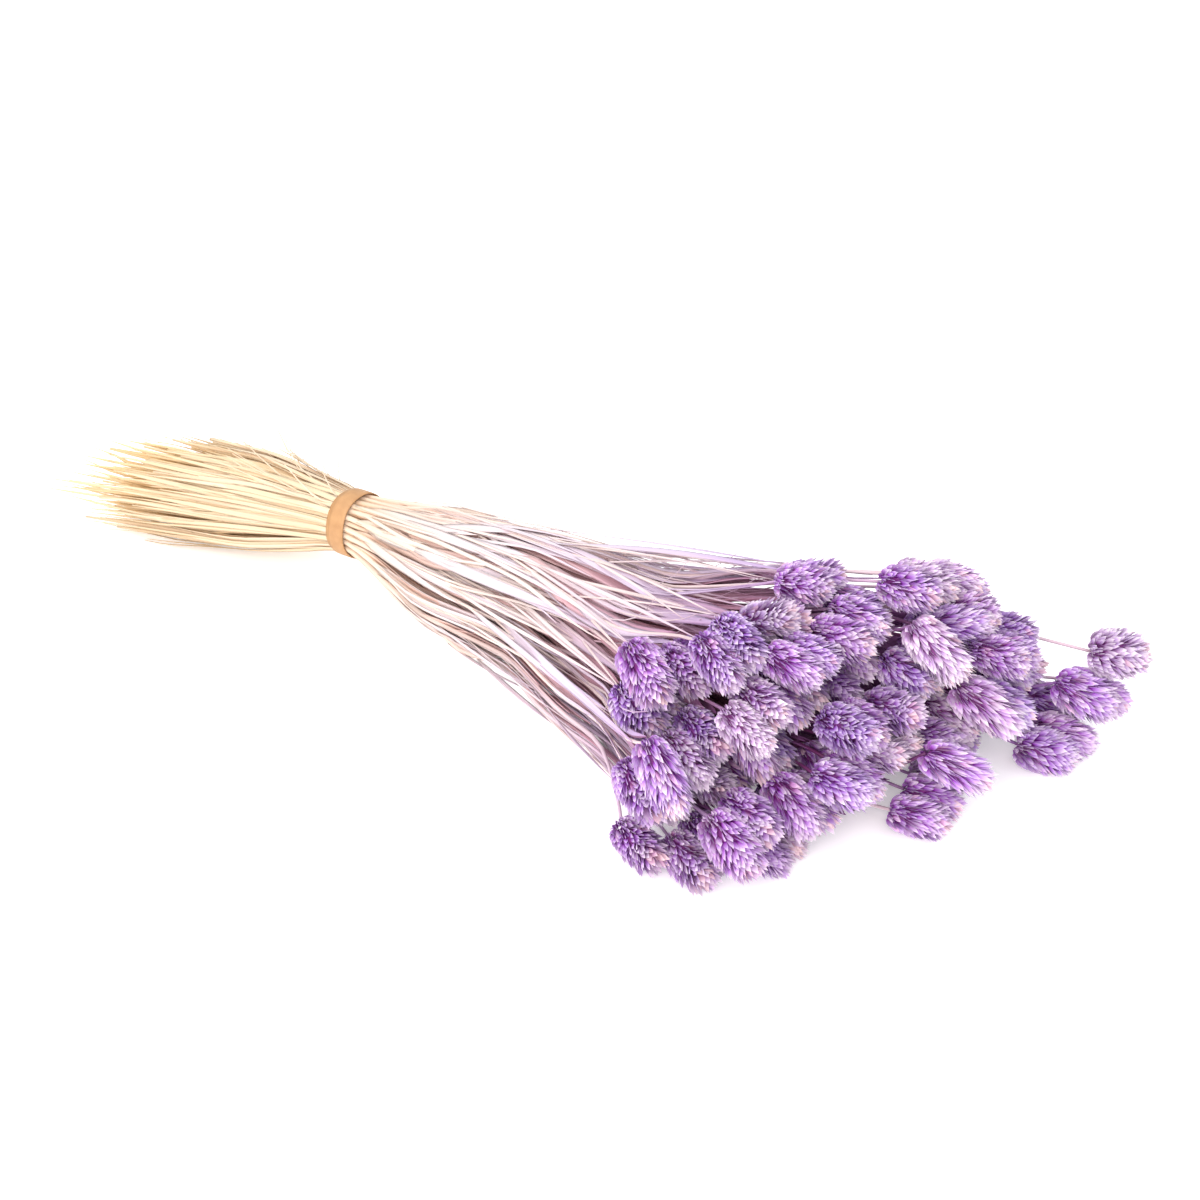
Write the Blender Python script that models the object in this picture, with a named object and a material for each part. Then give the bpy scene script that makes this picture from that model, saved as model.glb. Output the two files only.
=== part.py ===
"""Bunch of dried, dyed canary grass, lying on its side and tied with one rubber band.

Metres, +Z up. The cut ends point to -X and the seed heads to +X. The bunch lies on z = 0.
The stalks run in seven layers, from the table up. Each layer is one node, because its stems
are pressed into one another under the band. The heads are nodes of their own, one or two
touching heads in each.
"""

import math
import random

import bmesh
import bpy
import numpy as np
from mathutils import Vector

SEED = 12

# The band round the stalks
BAND_X = -0.165
BAND_Y = 0.011
BAND_Z = 0.032
BAND_INNER_RADIUS = 0.01645
BAND_TURN_THICKNESS = 0.0007
BAND_TURN_WIDTH = 0.0088
BAND_TURN_SHIFT = 0.0009
BAND_SIDES = 26
# The turns lie a little askew, as a share of their shift on each other
BAND_SKEW = 0.6
# The clearance between touching pieces
GAP = 0.0003

# The layers of stalks, counted from the table
LAYERS = 7
HEAD_PITCH = 0.0146
LAYER_PITCH = 0.0117
LOWEST_HEAD_Z = 0.0096
HEADS_CENTRE_Y = -0.018
HEADS_HALF_WIDTH = 0.097
WIDEST_Z = 0.028
DOME_HEIGHT = 0.062
DOME_NARROWEST = 0.05
HEADS_TOP = 0.102
DOME_FALL = 0.030
# How far up the band's disc each layer's middle lies, as a share of its radius
LAYER_IN_BAND = (-0.71, -0.42, -0.13, 0.15, 0.41, 0.65, 0.87)
# Heads joined in one node, taken in turn along a layer
UNIT_SIZES = (2, 2, 2, 2, 1)

# The seed heads
HEAD_RADIUS = 0.0093
HEAD_LENGTH = 0.0268
HEAD_SIDES = 5
# Share of the length and of the radius, for the tips and for the valleys of each tier
HEAD_TIPS = ((0.30, 0.93), (0.56, 1.00), (0.78, 0.86), (0.97, 0.52))
HEAD_VALLEYS = ((0.05, 0.62), (0.27, 0.72), (0.50, 0.72), (0.70, 0.55))
HEAD_FOOT = 0.16
HEAD_CROWN = 0.90
# The outline of a head: share of the length, and outer radius as a share of the largest
HEAD_OUTLINE = (
    (-0.05, 0.45), (0.0, 0.60), (0.15, 0.90), (0.35, 1.0),
    (0.60, 1.0), (0.80, 0.86), (0.95, 0.62), (1.05, 0.40),
)
# How far past both ends of a head its place is still settled, as a share of its length
HEAD_MARGIN = 0.05

# Where the heads end, towards the front
FRONT_X = 0.201
FRONT_SKEW = 0.052
FRONT_ROUND = 0.026
FRONT_LEAN = 0.058
REACH_STEP = 0.027
REACH_SIDE = 0.25
REACH_RISE = 0.40
REACH_LAYERS = 3
PAIR_SPACING = 0.82
STRAY_LAYER = 3
STRAY_REACH = 0.026
STRAY_SHIFT = 0.006

# How unevenly the stalks grew and lie
RADIUS_SPREAD = (0.90, 1.08)
LENGTH_SPREAD = (0.90, 1.10)
SHIFT_Y = 0.0038
SHIFT_Z = 0.0040
TILT = 0.16
TILT_OUTWARD = 0.27
TILT_UPWARD = 0.22
TILT_LEVEL = 0.58
UNIT_SHIFT_X = 0.009
MATE_SHIFT_X = 0.0015

# The stems, as the radius of their three corners
STEM_RADIUS_CUT = 0.0015
STEM_RADIUS_BAND = 0.0016
STEM_RADIUS_TOP = 0.00095
STEM_SMOOTH = 0.0014
NECK = 0.004
BAND_HALF_STRETCH = 0.009
BAND_STATIONS = (2, 3)
CUT_X = -0.317
CUT_RAGGED = 0.016
CUT_LONGEST = 0.014
CUT_LONG_ABOVE = 0.93
# The stalks are cut in a point: the higher and the further out, the shorter they are
CUT_STEPPED = 0.080
CUT_LONG_LAYER = 0.25
CUT_SIDES = 0.012
CUT_Z = 0.0235
CUT_Y = -0.004
# Behind the band the stalks open like a brush: the spread of y and of z, against the band
CUT_SPREAD = (2.15, 1.85)
BRUSH_X = -0.220
BRUSH_Y = 0.0055
BRUSH_Z = 0.0295
BRUSH_SPREAD = (1.60, 1.70)

# The bunch's middle line, which bends a little at the band: x and y
MIDDLE_LINE = (
    (BAND_X, BAND_Y), (-0.045, 0.004), (0.040, -0.009), (0.120, HEADS_CENTRE_Y),
)
# Stations between band and heads: x, share of the full width, lowest and highest layer
FLARE = (
    (-0.105, 0.25, 0.0050, 0.0550),
    (-0.040, 0.28, 0.0000, 0.0590),
    (0.033, 0.51, 0.0000, 0.0620),
    (0.070, 0.75, 0.0065, 0.0750),
    (0.105, 0.93, 0.0096, 0.0825),
    (0.135, 0.98, 0.0096, 0.0828),
    (0.260, 1.08, 0.0096, 0.0828),
)

# The settling of the heads against each other, in planes across the bunch
PLANE_START = 0.033
PLANE_STEP = 0.006
PLANES = 39
STEM_CLEAR = 0.0016
HEAD_CLEAR = 0.0005
SETTLE_ROUNDS = 420
LATE_SHARE = 0.6
LEAN_EVERY = 20
LEAN_WIDENS = 0.6
STEEPEST_LEAN = 0.62
PUSH_STRENGTH = 0.55
MATE_STRENGTH = 0.35
SMOOTH_EARLY = 0.45
SMOOTH_LATE = 0.15
HOLD_SHAPE = 0.01
# A heavy head gives way less than a stem, and its lowest scales are pressed flat
HEAD_WEIGHT = 0.35
REST_SHARE = 0.93
LEAD = 0.03

# The leaf blades
BLADE_THICKNESS = 0.0007
BLADES_PER_LAYER = 4
BLADE_START = (-0.135, -0.045)
BLADE_LENGTH = (0.060, 0.105)
BLADE_WIDTH = (0.0030, 0.0042)
BLADE_DRIFT = (0.004, 0.009)
BLADE_TILT = 0.30
BLADE_LIFT = 0.0004
BLADE_LOWEST = 0.0016
# Share of the blade's length and of its width
BLADE_OUTLINE = ((0.0, 0.45), (0.35, 1.0), (0.72, 0.85), (1.0, 0.22))

COLOURS = {
    "stalks": ((0.80, 0.68, 0.66), 0.75),
    "heads": ((0.47, 0.30, 0.66), 0.85),
    "band": ((0.78, 0.52, 0.30), 0.6),
}


def flare_at(x):
    """Width share, lowest and highest layer height at x, between the stations of FLARE."""
    table = np.array(FLARE)
    return tuple(float(np.interp(x, table[:, 0], table[:, column])) for column in (1, 2, 3))


def layer_half_width(height):
    """Half the width of the heads' cross-section at a height above the table."""
    squeeze = 1.0 - ((height - WIDEST_Z) / DOME_HEIGHT) ** 2
    return HEADS_HALF_WIDTH * math.sqrt(max(squeeze, DOME_NARROWEST))


def centre_y(x):
    """Where the bunch's middle line lies at x."""
    table = np.array(MIDDLE_LINE)
    return float(np.interp(x, table[:, 0], table[:, 1]))


def front_reach(side, rise):
    """x of the foremost head's tip, for a place across (-1 to 1) and up (0 to 1)."""
    return FRONT_X + FRONT_SKEW * side - FRONT_ROUND * side ** 2 - FRONT_LEAN * rise ** 1.5


def ragged_cut(draw, across, rise):
    """x of a cut end. A few stalks were cut longer than the rest."""
    longer = CUT_LONGEST if draw.random() > CUT_LONG_ABOVE else 0.0
    shorter = CUT_STEPPED * (rise - CUT_LONG_LAYER) ** 2 + CUT_SIDES * across ** 2
    return CUT_X - draw.uniform(-1.0, 1.0) * CUT_RAGGED - longer + shorter


def make_stalks():
    """Place every stalk by rule: its layer, its place in the layer, and its head's reach."""
    draw = random.Random(SEED)
    stalks = []
    for layer in range(LAYERS):
        height = LOWEST_HEAD_Z + LAYER_PITCH * layer
        half = layer_half_width(height)
        count = round(2.0 * half / HEAD_PITCH) + 1
        unit = 0
        left_in_unit = UNIT_SIZES[0] if layer % 2 == 0 else 1
        for place in range(count):
            if left_in_unit == 0:
                unit += 1
                left_in_unit = UNIT_SIZES[unit % len(UNIT_SIZES)]
            left_in_unit -= 1
            across = 2.0 * place / (count - 1) - 1.0
            side = across * half / HEADS_HALF_WIDTH
            rise = layer / (LAYERS - 1)
            stalks.append({
                "layer": layer,
                "in_layer": count,
                "unit": unit,
                "across": across,
                "side": side,
                "rise": rise,
                "radius": HEAD_RADIUS * draw.uniform(*RADIUS_SPREAD),
                "length": HEAD_LENGTH * draw.uniform(*LENGTH_SPREAD),
                "shift_y": draw.uniform(-SHIFT_Y, SHIFT_Y),
                "shift_z": draw.uniform(-SHIFT_Z, SHIFT_Z),
                "tilt_y": draw.uniform(-TILT, TILT) + TILT_OUTWARD * side * abs(side),
                "tilt_z": draw.uniform(-TILT, TILT) + TILT_UPWARD * (rise - TILT_LEVEL),
                "roll": draw.uniform(0.0, 2.0 * math.pi),
                "cut_x": ragged_cut(draw, across, rise),
            })
    # Stalks of one unit share their reach, so that their heads touch
    reach_draw = random.Random(SEED + 1)
    unit_reach = {}
    for stalk in stalks:
        key = (stalk["layer"], stalk["unit"])
        if key not in unit_reach:
            step = (stalk["unit"] + 2 * stalk["layer"]) % REACH_LAYERS
            depth = REACH_STEP * (1.0 - REACH_SIDE + REACH_SIDE * stalk["side"])
            depth *= 1.0 - REACH_RISE * stalk["rise"]
            tip = front_reach(stalk["side"], stalk["rise"]) - step * depth
            unit_reach[key] = tip + reach_draw.uniform(-UNIT_SHIFT_X, UNIT_SHIFT_X)
        stalk["tip_x"] = unit_reach[key] + reach_draw.uniform(-MATE_SHIFT_X, MATE_SHIFT_X)
    # One head on the far side reaches out alone
    stray = [stalk for stalk in stalks if stalk["layer"] == STRAY_LAYER][-1]
    stray["tip_x"] = front_reach(stray["side"], stray["rise"]) + STRAY_REACH
    stray["shift_y"] = STRAY_SHIFT
    stray["unit"] = "stray"
    for stalk in stalks:
        stalk["base_x"] = stalk["tip_x"] - stalk["length"]
    return stalks


def rule_path(stalk, x):
    """Where a stalk's middle line lies at x, before the heads are settled."""
    share, low, high = flare_at(x)
    height = LOWEST_HEAD_Z + LAYER_PITCH * stalk["layer"]
    half = layer_half_width(height) * share
    y = centre_y(x) + stalk["across"] * half + stalk["shift_y"] * share ** 2
    z = low + (high - low) * stalk["rise"]
    if low > 0.0:
        z += stalk["shift_z"] * share ** 2
    return y, z


def band_place(stalk):
    """Where a stalk passes through the band.

    A layer is as wide as the band lets it be: its outer lower corners, or its outer top
    corners where those come first, lie GAP from the band's flats.
    """
    reach = BAND_INNER_RADIUS - GAP * 1.5 - STEM_RADIUS_BAND
    up = LAYER_IN_BAND[stalk["layer"]] * reach
    wall = BAND_INNER_RADIUS * math.cos(math.pi / BAND_SIDES) - GAP
    foot = math.sqrt(wall ** 2 - (up - 0.5 * STEM_RADIUS_BAND) ** 2)
    top = math.sqrt(wall ** 2 - (up + STEM_RADIUS_BAND) ** 2)
    half = min(foot * (1.0 - 1.0 / stalk["in_layer"]), top)
    return BAND_Y + stalk["across"] * half, BAND_Z + up


def head_profile(share):
    """A head's outer radius along its length, as a share of its largest."""
    table = np.array(HEAD_OUTLINE)
    return np.interp(share, table[:, 0], table[:, 1])


def settle(stalks):
    """Press the heads and stems apart in planes across the bunch until nothing crosses.

    Each stalk is one point in every plane up to its tip. Points push each other away by
    their radii there, heads stay straight, stems are smoothed, and the two heads of a unit
    are drawn together.
    """
    count = len(stalks)
    planes = PLANE_START + PLANE_STEP * np.arange(PLANES)
    base_x = np.array([stalk["base_x"] for stalk in stalks])
    tip_x = np.array([stalk["tip_x"] for stalk in stalks])
    radius = np.array([stalk["radius"] for stalk in stalks])
    place = np.zeros((count, PLANES, 2))
    for index, stalk in enumerate(stalks):
        base_y, base_z = rule_path(stalk, stalk["base_x"])
        for plane, x in enumerate(planes):
            if x <= stalk["base_x"]:
                place[index, plane] = rule_path(stalk, x)
            else:
                run = x - stalk["base_x"]
                before_y, _ = rule_path(stalk, stalk["base_x"] - LEAD)
                spread = (base_y - before_y) / LEAD
                place[index, plane, 0] = base_y + run * (spread + stalk["tilt_y"])
                place[index, plane, 1] = base_z + run * stalk["tilt_z"]
    start = place.copy()
    share = (planes[None, :] - base_x[:, None]) / (tip_x - base_x)[:, None]
    in_head = (share > -HEAD_MARGIN) & (share < 1.0 + HEAD_MARGIN)
    active = share < 1.0 + HEAD_MARGIN
    girth = np.where(in_head, radius[:, None] * head_profile(share) + HEAD_CLEAR, STEM_CLEAR)
    weight = np.where(in_head, HEAD_WEIGHT, 1.0)
    mates = []
    for first in range(count):
        for second in range(first + 1, count):
            same = stalks[first]["layer"] == stalks[second]["layer"]
            if same and stalks[first]["unit"] == stalks[second]["unit"]:
                mates.append((first, second))
    is_mate = np.zeros((count, count), bool)
    for first, second in mates:
        is_mate[first, second] = is_mate[second, first] = True
    both_heads = in_head[:, None, :] & in_head[None, :, :]
    skip = is_mate[:, :, None] & both_heads
    pairs = active[:, None, :] & active[None, :, :] & ~skip
    pairs[np.arange(count), np.arange(count), :] = False
    part = weight[:, None, :] / (weight[:, None, :] + weight[None, :, :])
    slopes = np.zeros((count, 2))
    for turn in range(SETTLE_ROUNDS):
        late = turn > SETTLE_ROUNDS * LATE_SHARE
        if turn % LEAN_EVERY == 0:
            # A leaning head is wider in its planes
            lean = LEAN_WIDENS * (slopes ** 2).sum(axis=1)[:, None]
            wide = girth * np.where(in_head, 1.0 + lean, 1.0)
            reach = wide[:, None, :] + wide[None, :, :]
        apart = place[:, None, :, :] - place[None, :, :, :]
        distance = np.sqrt((apart ** 2).sum(axis=3)) + 1e-9
        push = np.where(pairs & (distance < reach), (reach - distance) / distance, 0.0)
        move = (apart * (push * part)[..., None]).sum(axis=1)
        place += PUSH_STRENGTH * move
        for first, second in mates:
            shared = in_head[first] & in_head[second]
            line = place[first, shared] - place[second, shared]
            length = np.sqrt((line ** 2).sum(axis=1))[:, None] + 1e-9
            target = PAIR_SPACING * (radius[first] + radius[second])
            fix = MATE_STRENGTH * (target - length) / length * line
            place[first, shared] += fix
            place[second, shared] -= fix
        # Heads are stiff: their points stay on one line
        for index in range(count):
            inside = in_head[index]
            xs = planes[inside] - planes[inside].mean()
            middle = place[index, inside].mean(axis=0)
            slope = (xs[:, None] * (place[index, inside] - middle)).sum(axis=0) / (xs ** 2).sum()
            slopes[index] = np.clip(slope, -STEEPEST_LEAN, STEEPEST_LEAN)
            place[index, inside] = middle + xs[:, None] * slopes[index]
        bend = 0.5 * (place[:, :-2] + place[:, 2:]) - place[:, 1:-1]
        stem_inside = ~in_head[:, 1:-1] & active[:, 1:-1]
        smooth = SMOOTH_LATE if late else SMOOTH_EARLY
        place[:, 1:-1] += np.where(stem_inside[..., None], smooth * bend, 0.0)
        if not late:
            place += HOLD_SHAPE * (start - place)
        place[:, 0] = start[:, 0]
        floor = np.where(in_head, radius[:, None] * head_profile(share) * REST_SHARE, 0.0)
        place[..., 1] = np.maximum(place[..., 1], floor)
        # The weight of the upper heads keeps the dome low
        out = (place[..., 0] - HEADS_CENTRE_Y) / HEADS_HALF_WIDTH
        ceiling = HEADS_TOP - DOME_FALL * out ** 2 - radius[:, None]
        place[..., 1] = np.where(in_head, np.minimum(place[..., 1], ceiling), place[..., 1])
    return planes, place


def loft(bm, rings):
    """Join closed rings of points into a tube with flat ends. Faces point outwards."""
    made = [[bm.verts.new(point) for point in ring] for ring in rings]
    sides = len(rings[0])
    for first, second in zip(made, made[1:]):
        for side in range(sides):
            after = (side + 1) % sides
            bm.faces.new((first[side], first[after], second[after]))
            bm.faces.new((first[side], second[after], second[side]))
    bm.faces.new(made[0][::-1])
    bm.faces.new(made[-1])


def behind_band(stalk):
    """Where a stalk's middle lies at its cut end and at BRUSH_X."""
    band_y, band_z = band_place(stalk)
    out_y, out_z = band_y - BAND_Y, band_z - BAND_Z
    brush = Vector((BRUSH_X, BRUSH_Y + out_y * BRUSH_SPREAD[0], BRUSH_Z + out_z * BRUSH_SPREAD[1]))
    cut = Vector((CUT_X, CUT_Y + out_y * CUT_SPREAD[0], CUT_Z + out_z * CUT_SPREAD[1]))
    cut = brush + (cut - brush) * ((BRUSH_X - stalk["cut_x"]) / (BRUSH_X - CUT_X))
    cut.z = max(cut.z, STEM_RADIUS_CUT * 0.5)
    return cut, brush


def stem_points(stalk, planes, place, index):
    """Middle points and corner radii of a stem, from its cut end to just behind its head."""
    band_y, band_z = band_place(stalk)
    cut, brush = behind_band(stalk)
    points = [
        (*cut, STEM_RADIUS_CUT),
        (*brush, STEM_RADIUS_CUT),
        (BAND_X - BAND_HALF_STRETCH, band_y, band_z, STEM_RADIUS_BAND),
        (BAND_X + BAND_HALF_STRETCH, band_y, band_z, STEM_RADIUS_BAND),
    ]
    taper = (STEM_RADIUS_TOP - STEM_RADIUS_BAND) / (stalk["base_x"] - BAND_X)
    for x in [station[0] for station in FLARE if station[0] < PLANE_START]:
        points.append((x, *rule_path(stalk, x), STEM_RADIUS_BAND + taper * (x - BAND_X)))
    base, tip = head_line(stalk, planes, place, index)
    end = base - (tip - base).normalized() * GAP
    path = [Vector((x, *place[index, plane])) for plane, x in enumerate(planes)
            if x < stalk["base_x"] - NECK]
    for point in needed_points(path + [end])[:-1]:
        points.append((*point, STEM_RADIUS_BAND + taper * (point.x - BAND_X)))
    points.append((*end, STEM_RADIUS_TOP))
    return points


def needed_points(path):
    """Leave out the points of a path that lie within STEM_SMOOTH of the line past them."""
    start, end = path[0], path[-1]
    line = (end - start).normalized()
    away = [(point - start - line * (point - start).dot(line)).length for point in path]
    worst = max(range(len(path)), key=away.__getitem__)
    if away[worst] < STEM_SMOOTH or len(path) < 3:
        return [start, end]
    return needed_points(path[:worst + 1])[:-1] + needed_points(path[worst:])


def head_line(stalk, planes, place, index):
    """The base and tip of a head, read off its straight run of settled points."""
    inside = (planes > stalk["base_x"] - 0.001) & (planes < stalk["tip_x"] + 0.001)
    xs = planes[inside]
    ys = np.polyfit(xs, place[index, inside, 0], 1)
    zs = np.polyfit(xs, place[index, inside, 1], 1)
    base = Vector((stalk["base_x"], *(np.polyval(fit, stalk["base_x"]) for fit in (ys, zs))))
    tip = Vector((stalk["tip_x"], *(np.polyval(fit, stalk["tip_x"]) for fit in (ys, zs))))
    return base, tip


def stem_ring(bm, point, facing=None):
    """The three corners of a stem at one point: right and left below, and one on top.

    The stem has one flat side down. Its last ring is turned to face along the head.
    """
    x, y, z, radius = point
    ring = []
    for turn in (-30.0, 90.0, 210.0):
        out_y = radius * math.cos(math.radians(turn))
        out_z = radius * math.sin(math.radians(turn))
        slide = 0.0
        if facing is not None:
            slide = -(facing.y * out_y + facing.z * out_z) / facing.x
        ring.append(bm.verts.new((x + slide, y + out_y, max(z + out_z, 0.0))))
    return ring


def tube(bm, rings):
    """Three-sided walls between rings of corners."""
    for first, second in zip(rings, rings[1:]):
        for side in range(3):
            after = (side + 1) % 3
            bm.faces.new((first[side], first[after], second[after]))
            bm.faces.new((first[side], second[after], second[side]))


def add_layer(bm, stems):
    """All stems of one layer as one body.

    stems holds one list of points for each stem, in order across the layer. Under the band
    neighbouring stems are pressed into one flat bar, which shares their lower corners. Out of
    it they run on as three-sided stems, towards the cut ends and towards the heads.
    BAND_STATIONS says which two points of a stem lie at the two ends of the band.
    """
    tops = []
    feet = []
    for station in BAND_STATIONS:
        middles = [stem[0][station] for stem in stems]
        halves = [0.5 * (after[1] - before[1]) for before, after in zip(middles, middles[1:])]
        edges = [middles[0][1] - halves[0]]
        edges += [place[1] + half for place, half in zip(middles, halves)]
        edges.append(middles[-1][1] + halves[-1])
        x, _, z, radius = middles[0]
        tops.append([bm.verts.new((x, place[1], z + radius)) for place in middles])
        feet.append([bm.verts.new((x, edge, z - 0.5 * radius)) for edge in edges])
    count = len(stems)
    for index in range(count):
        quad(bm, feet[0][index], feet[1][index], feet[1][index + 1], feet[0][index + 1])
    for index in range(count - 1):
        quad(bm, tops[0][index], tops[0][index + 1], tops[1][index + 1], tops[1][index])
        bm.faces.new((tops[0][index], feet[0][index + 1], tops[0][index + 1]))
        bm.faces.new((tops[1][index], tops[1][index + 1], feet[1][index + 1]))
    quad(bm, feet[0][0], tops[0][0], tops[1][0], feet[1][0])
    quad(bm, feet[0][-1], feet[1][-1], tops[1][-1], tops[0][-1])
    for index, (points, facing) in enumerate(stems):
        rear = [feet[0][index + 1], tops[0][index], feet[0][index]]
        front = [feet[1][index + 1], tops[1][index], feet[1][index]]
        behind = [stem_ring(bm, point) for point in points[:BAND_STATIONS[0]]]
        tube(bm, behind + [rear])
        bm.faces.new(behind[0][::-1])
        rings = [front] + [stem_ring(bm, point) for point in points[BAND_STATIONS[1] + 1:-1]]
        rings.append(stem_ring(bm, points[-1], facing))
        tube(bm, rings)
        bm.faces.new(rings[-1])


def quad(bm, first, second, third, fourth):
    """A four-cornered face as two triangles."""
    bm.faces.new((first, second, third))
    bm.faces.new((first, third, fourth))


def head_frame(base, tip):
    """The length and the three directions of a head."""
    axis = tip - base
    length = axis.length
    axis.normalize()
    across = axis.cross(Vector((0.0, 0.0, 1.0))).normalized()
    return length, axis, across, axis.cross(across)


def facing_roll(base, tip, target, order):
    """The roll that turns a head's scales into the gaps between its neighbour's scales."""
    _, _, across, over = head_frame(base, tip)
    line = target - 0.5 * (base + tip)
    angle = math.atan2(line.dot(over), line.dot(across))
    return angle - order * math.pi / HEAD_SIDES


def add_head(bm, base, tip, radius, roll):
    """A seed head: tiers of pointed scales round a core, one closed surface.

    Every tier has HEAD_SIDES tips with valleys between them. A tip stands over the valley of
    the next tier, which gives each scale its overhanging edge.
    """
    length, axis, across, over = head_frame(base, tip)
    step = 2.0 * math.pi / HEAD_SIDES

    def place(share, out, angle):
        spoke = across * math.cos(angle) + over * math.sin(angle)
        point = base + axis * (length * share) + spoke * (radius * out)
        point.z = max(point.z, 0.0)
        return bm.verts.new(point)

    foot = [place(0.0, HEAD_FOOT, roll + step * (side + 0.5)) for side in range(HEAD_SIDES)]
    tip_rings = []
    valley_rings = []
    for tier, ((tip_at, tip_out), (valley_at, valley_out)) in enumerate(zip(HEAD_TIPS, HEAD_VALLEYS)):
        turn = roll + 0.5 * step * (tier % 2)
        tip_rings.append([place(tip_at, tip_out, turn + step * side)
                          for side in range(HEAD_SIDES)])
        valley_rings.append([place(valley_at, valley_out, turn + step * (side + 0.5))
                             for side in range(HEAD_SIDES)])
    bm.faces.new(foot[::-1])
    for side in range(HEAD_SIDES):
        before = (side - 1) % HEAD_SIDES
        bm.faces.new((foot[before], foot[side], tip_rings[0][side]))
        bm.faces.new((foot[side], valley_rings[0][side], tip_rings[0][side]))
        bm.faces.new((foot[before], tip_rings[0][side], valley_rings[0][before]))
    for tier in range(len(HEAD_TIPS) - 1):
        for side in range(HEAD_SIDES):
            # The next tier's tip over this valley, and its valleys to the left and right
            if tier % 2 == 0:
                lead = side
                left = (side - 1) % HEAD_SIDES
            else:
                lead = (side + 1) % HEAD_SIDES
                left = side
            tip_here = tip_rings[tier]
            dip_here = valley_rings[tier]
            tip_next = tip_rings[tier + 1]
            dip_next = valley_rings[tier + 1]
            right = (left + 1) % HEAD_SIDES
            bm.faces.new((dip_here[side], dip_next[right], tip_next[lead]))
            bm.faces.new((dip_here[side], tip_next[lead], dip_next[left]))
            bm.faces.new((tip_here[side], dip_here[side], dip_next[left]))
            after = (side + 1) % HEAD_SIDES
            bm.faces.new((dip_here[side], tip_here[after], dip_next[right]))
    crown = bm.verts.new(base + axis * (length * HEAD_CROWN))
    for side in range(HEAD_SIDES):
        after = (side + 1) % HEAD_SIDES
        bm.faces.new((tip_rings[-1][side], valley_rings[-1][side], crown))
        bm.faces.new((valley_rings[-1][side], tip_rings[-1][after], crown))


def add_blade(bm, stalk, draw):
    """A flat leaf blade that leaves its stem and lies along the layer."""
    start = draw.uniform(*BLADE_START)
    length = draw.uniform(*BLADE_LENGTH)
    width = draw.uniform(*BLADE_WIDTH)
    drift = draw.choice((-1.0, 1.0)) * draw.uniform(*BLADE_DRIFT)
    tilt = draw.uniform(-BLADE_TILT, BLADE_TILT)
    rings = []
    for share, fat in BLADE_OUTLINE:
        x = start + length * share
        if x < FLARE[0][0]:
            band_y, band_z = band_place(stalk)
            flare_y, flare_z = rule_path(stalk, FLARE[0][0])
            mix = (x - BAND_X - BAND_HALF_STRETCH) / (FLARE[0][0] - BAND_X - BAND_HALF_STRETCH)
            y = band_y + (flare_y - band_y) * mix
            z = band_z + (flare_z - band_z) * mix
        else:
            y, z = rule_path(stalk, x)
        y += drift * share
        half = 0.5 * width * fat
        side = Vector((0.0, math.cos(tilt), math.sin(tilt))) * half
        lift = Vector((0.0, -math.sin(tilt), math.cos(tilt))) * (0.5 * BLADE_THICKNESS)
        middle = Vector((x, y, max(z + BLADE_LIFT, BLADE_LOWEST)))
        rings.append([middle - side - lift, middle + side - lift,
                      middle + side + lift, middle - side + lift])
    loft(bm, rings)


def new_material(name):
    """A Principled material with the part's colour and roughness."""
    colour, roughness = COLOURS[name]
    material = bpy.data.materials.new(name)
    material.use_nodes = True
    shader = material.node_tree.nodes["Principled BSDF"]
    shader.inputs["Base Color"].default_value = (*colour, 1.0)
    shader.inputs["Roughness"].default_value = roughness
    shader.inputs["Metallic"].default_value = 0.0
    return material


def loose_object(name, fill, *values):
    """An object whose mesh one of the add functions fills."""
    bm = bmesh.new()
    fill(bm, *values)
    bmesh.ops.triangulate(bm, faces=bm.faces)
    bmesh.ops.recalc_face_normals(bm, faces=bm.faces)
    mesh = bpy.data.meshes.new(name)
    bm.to_mesh(mesh)
    bm.free()
    shape = bpy.data.objects.new(name, mesh)
    bpy.context.scene.collection.objects.link(shape)
    return shape


def fuse(name, shapes):
    """Join overlapping shapes into one body with one Boolean union, applied."""
    body = shapes[0]
    body.name = name
    if len(shapes) > 1:
        others = bpy.data.collections.new(name + "_others")
        for shape in shapes[1:]:
            others.objects.link(shape)
        union = body.modifiers.new("union", "BOOLEAN")
        union.operation = "UNION"
        union.operand_type = "COLLECTION"
        union.collection = others
        union.solver = "MANIFOLD"
        graph = bpy.context.evaluated_depsgraph_get()
        joined = bpy.data.meshes.new_from_object(body.evaluated_get(graph))
        body.modifiers.clear()
        body.data = joined
        for shape in shapes[1:]:
            bpy.data.objects.remove(shape)
        bpy.data.collections.remove(others)
        drop_scraps(body.data)
    body.data.name = name
    return body


def drop_scraps(mesh):
    """Keep a mesh's largest body. Loose scraps go, and hollows sealed by fusing are filled."""
    bm = bmesh.new()
    bm.from_mesh(mesh)
    waiting = set(bm.verts)
    islands = []
    while waiting:
        reached = [waiting.pop()]
        for vertex in reached:
            for edge in vertex.link_edges:
                other = edge.other_vert(vertex)
                if other in waiting:
                    waiting.remove(other)
                    reached.append(other)
        islands.append(reached)
    islands.sort(key=len)
    for island in islands[:-1]:
        bmesh.ops.delete(bm, geom=island, context="VERTS")
    bm.to_mesh(mesh)
    bm.free()


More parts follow.
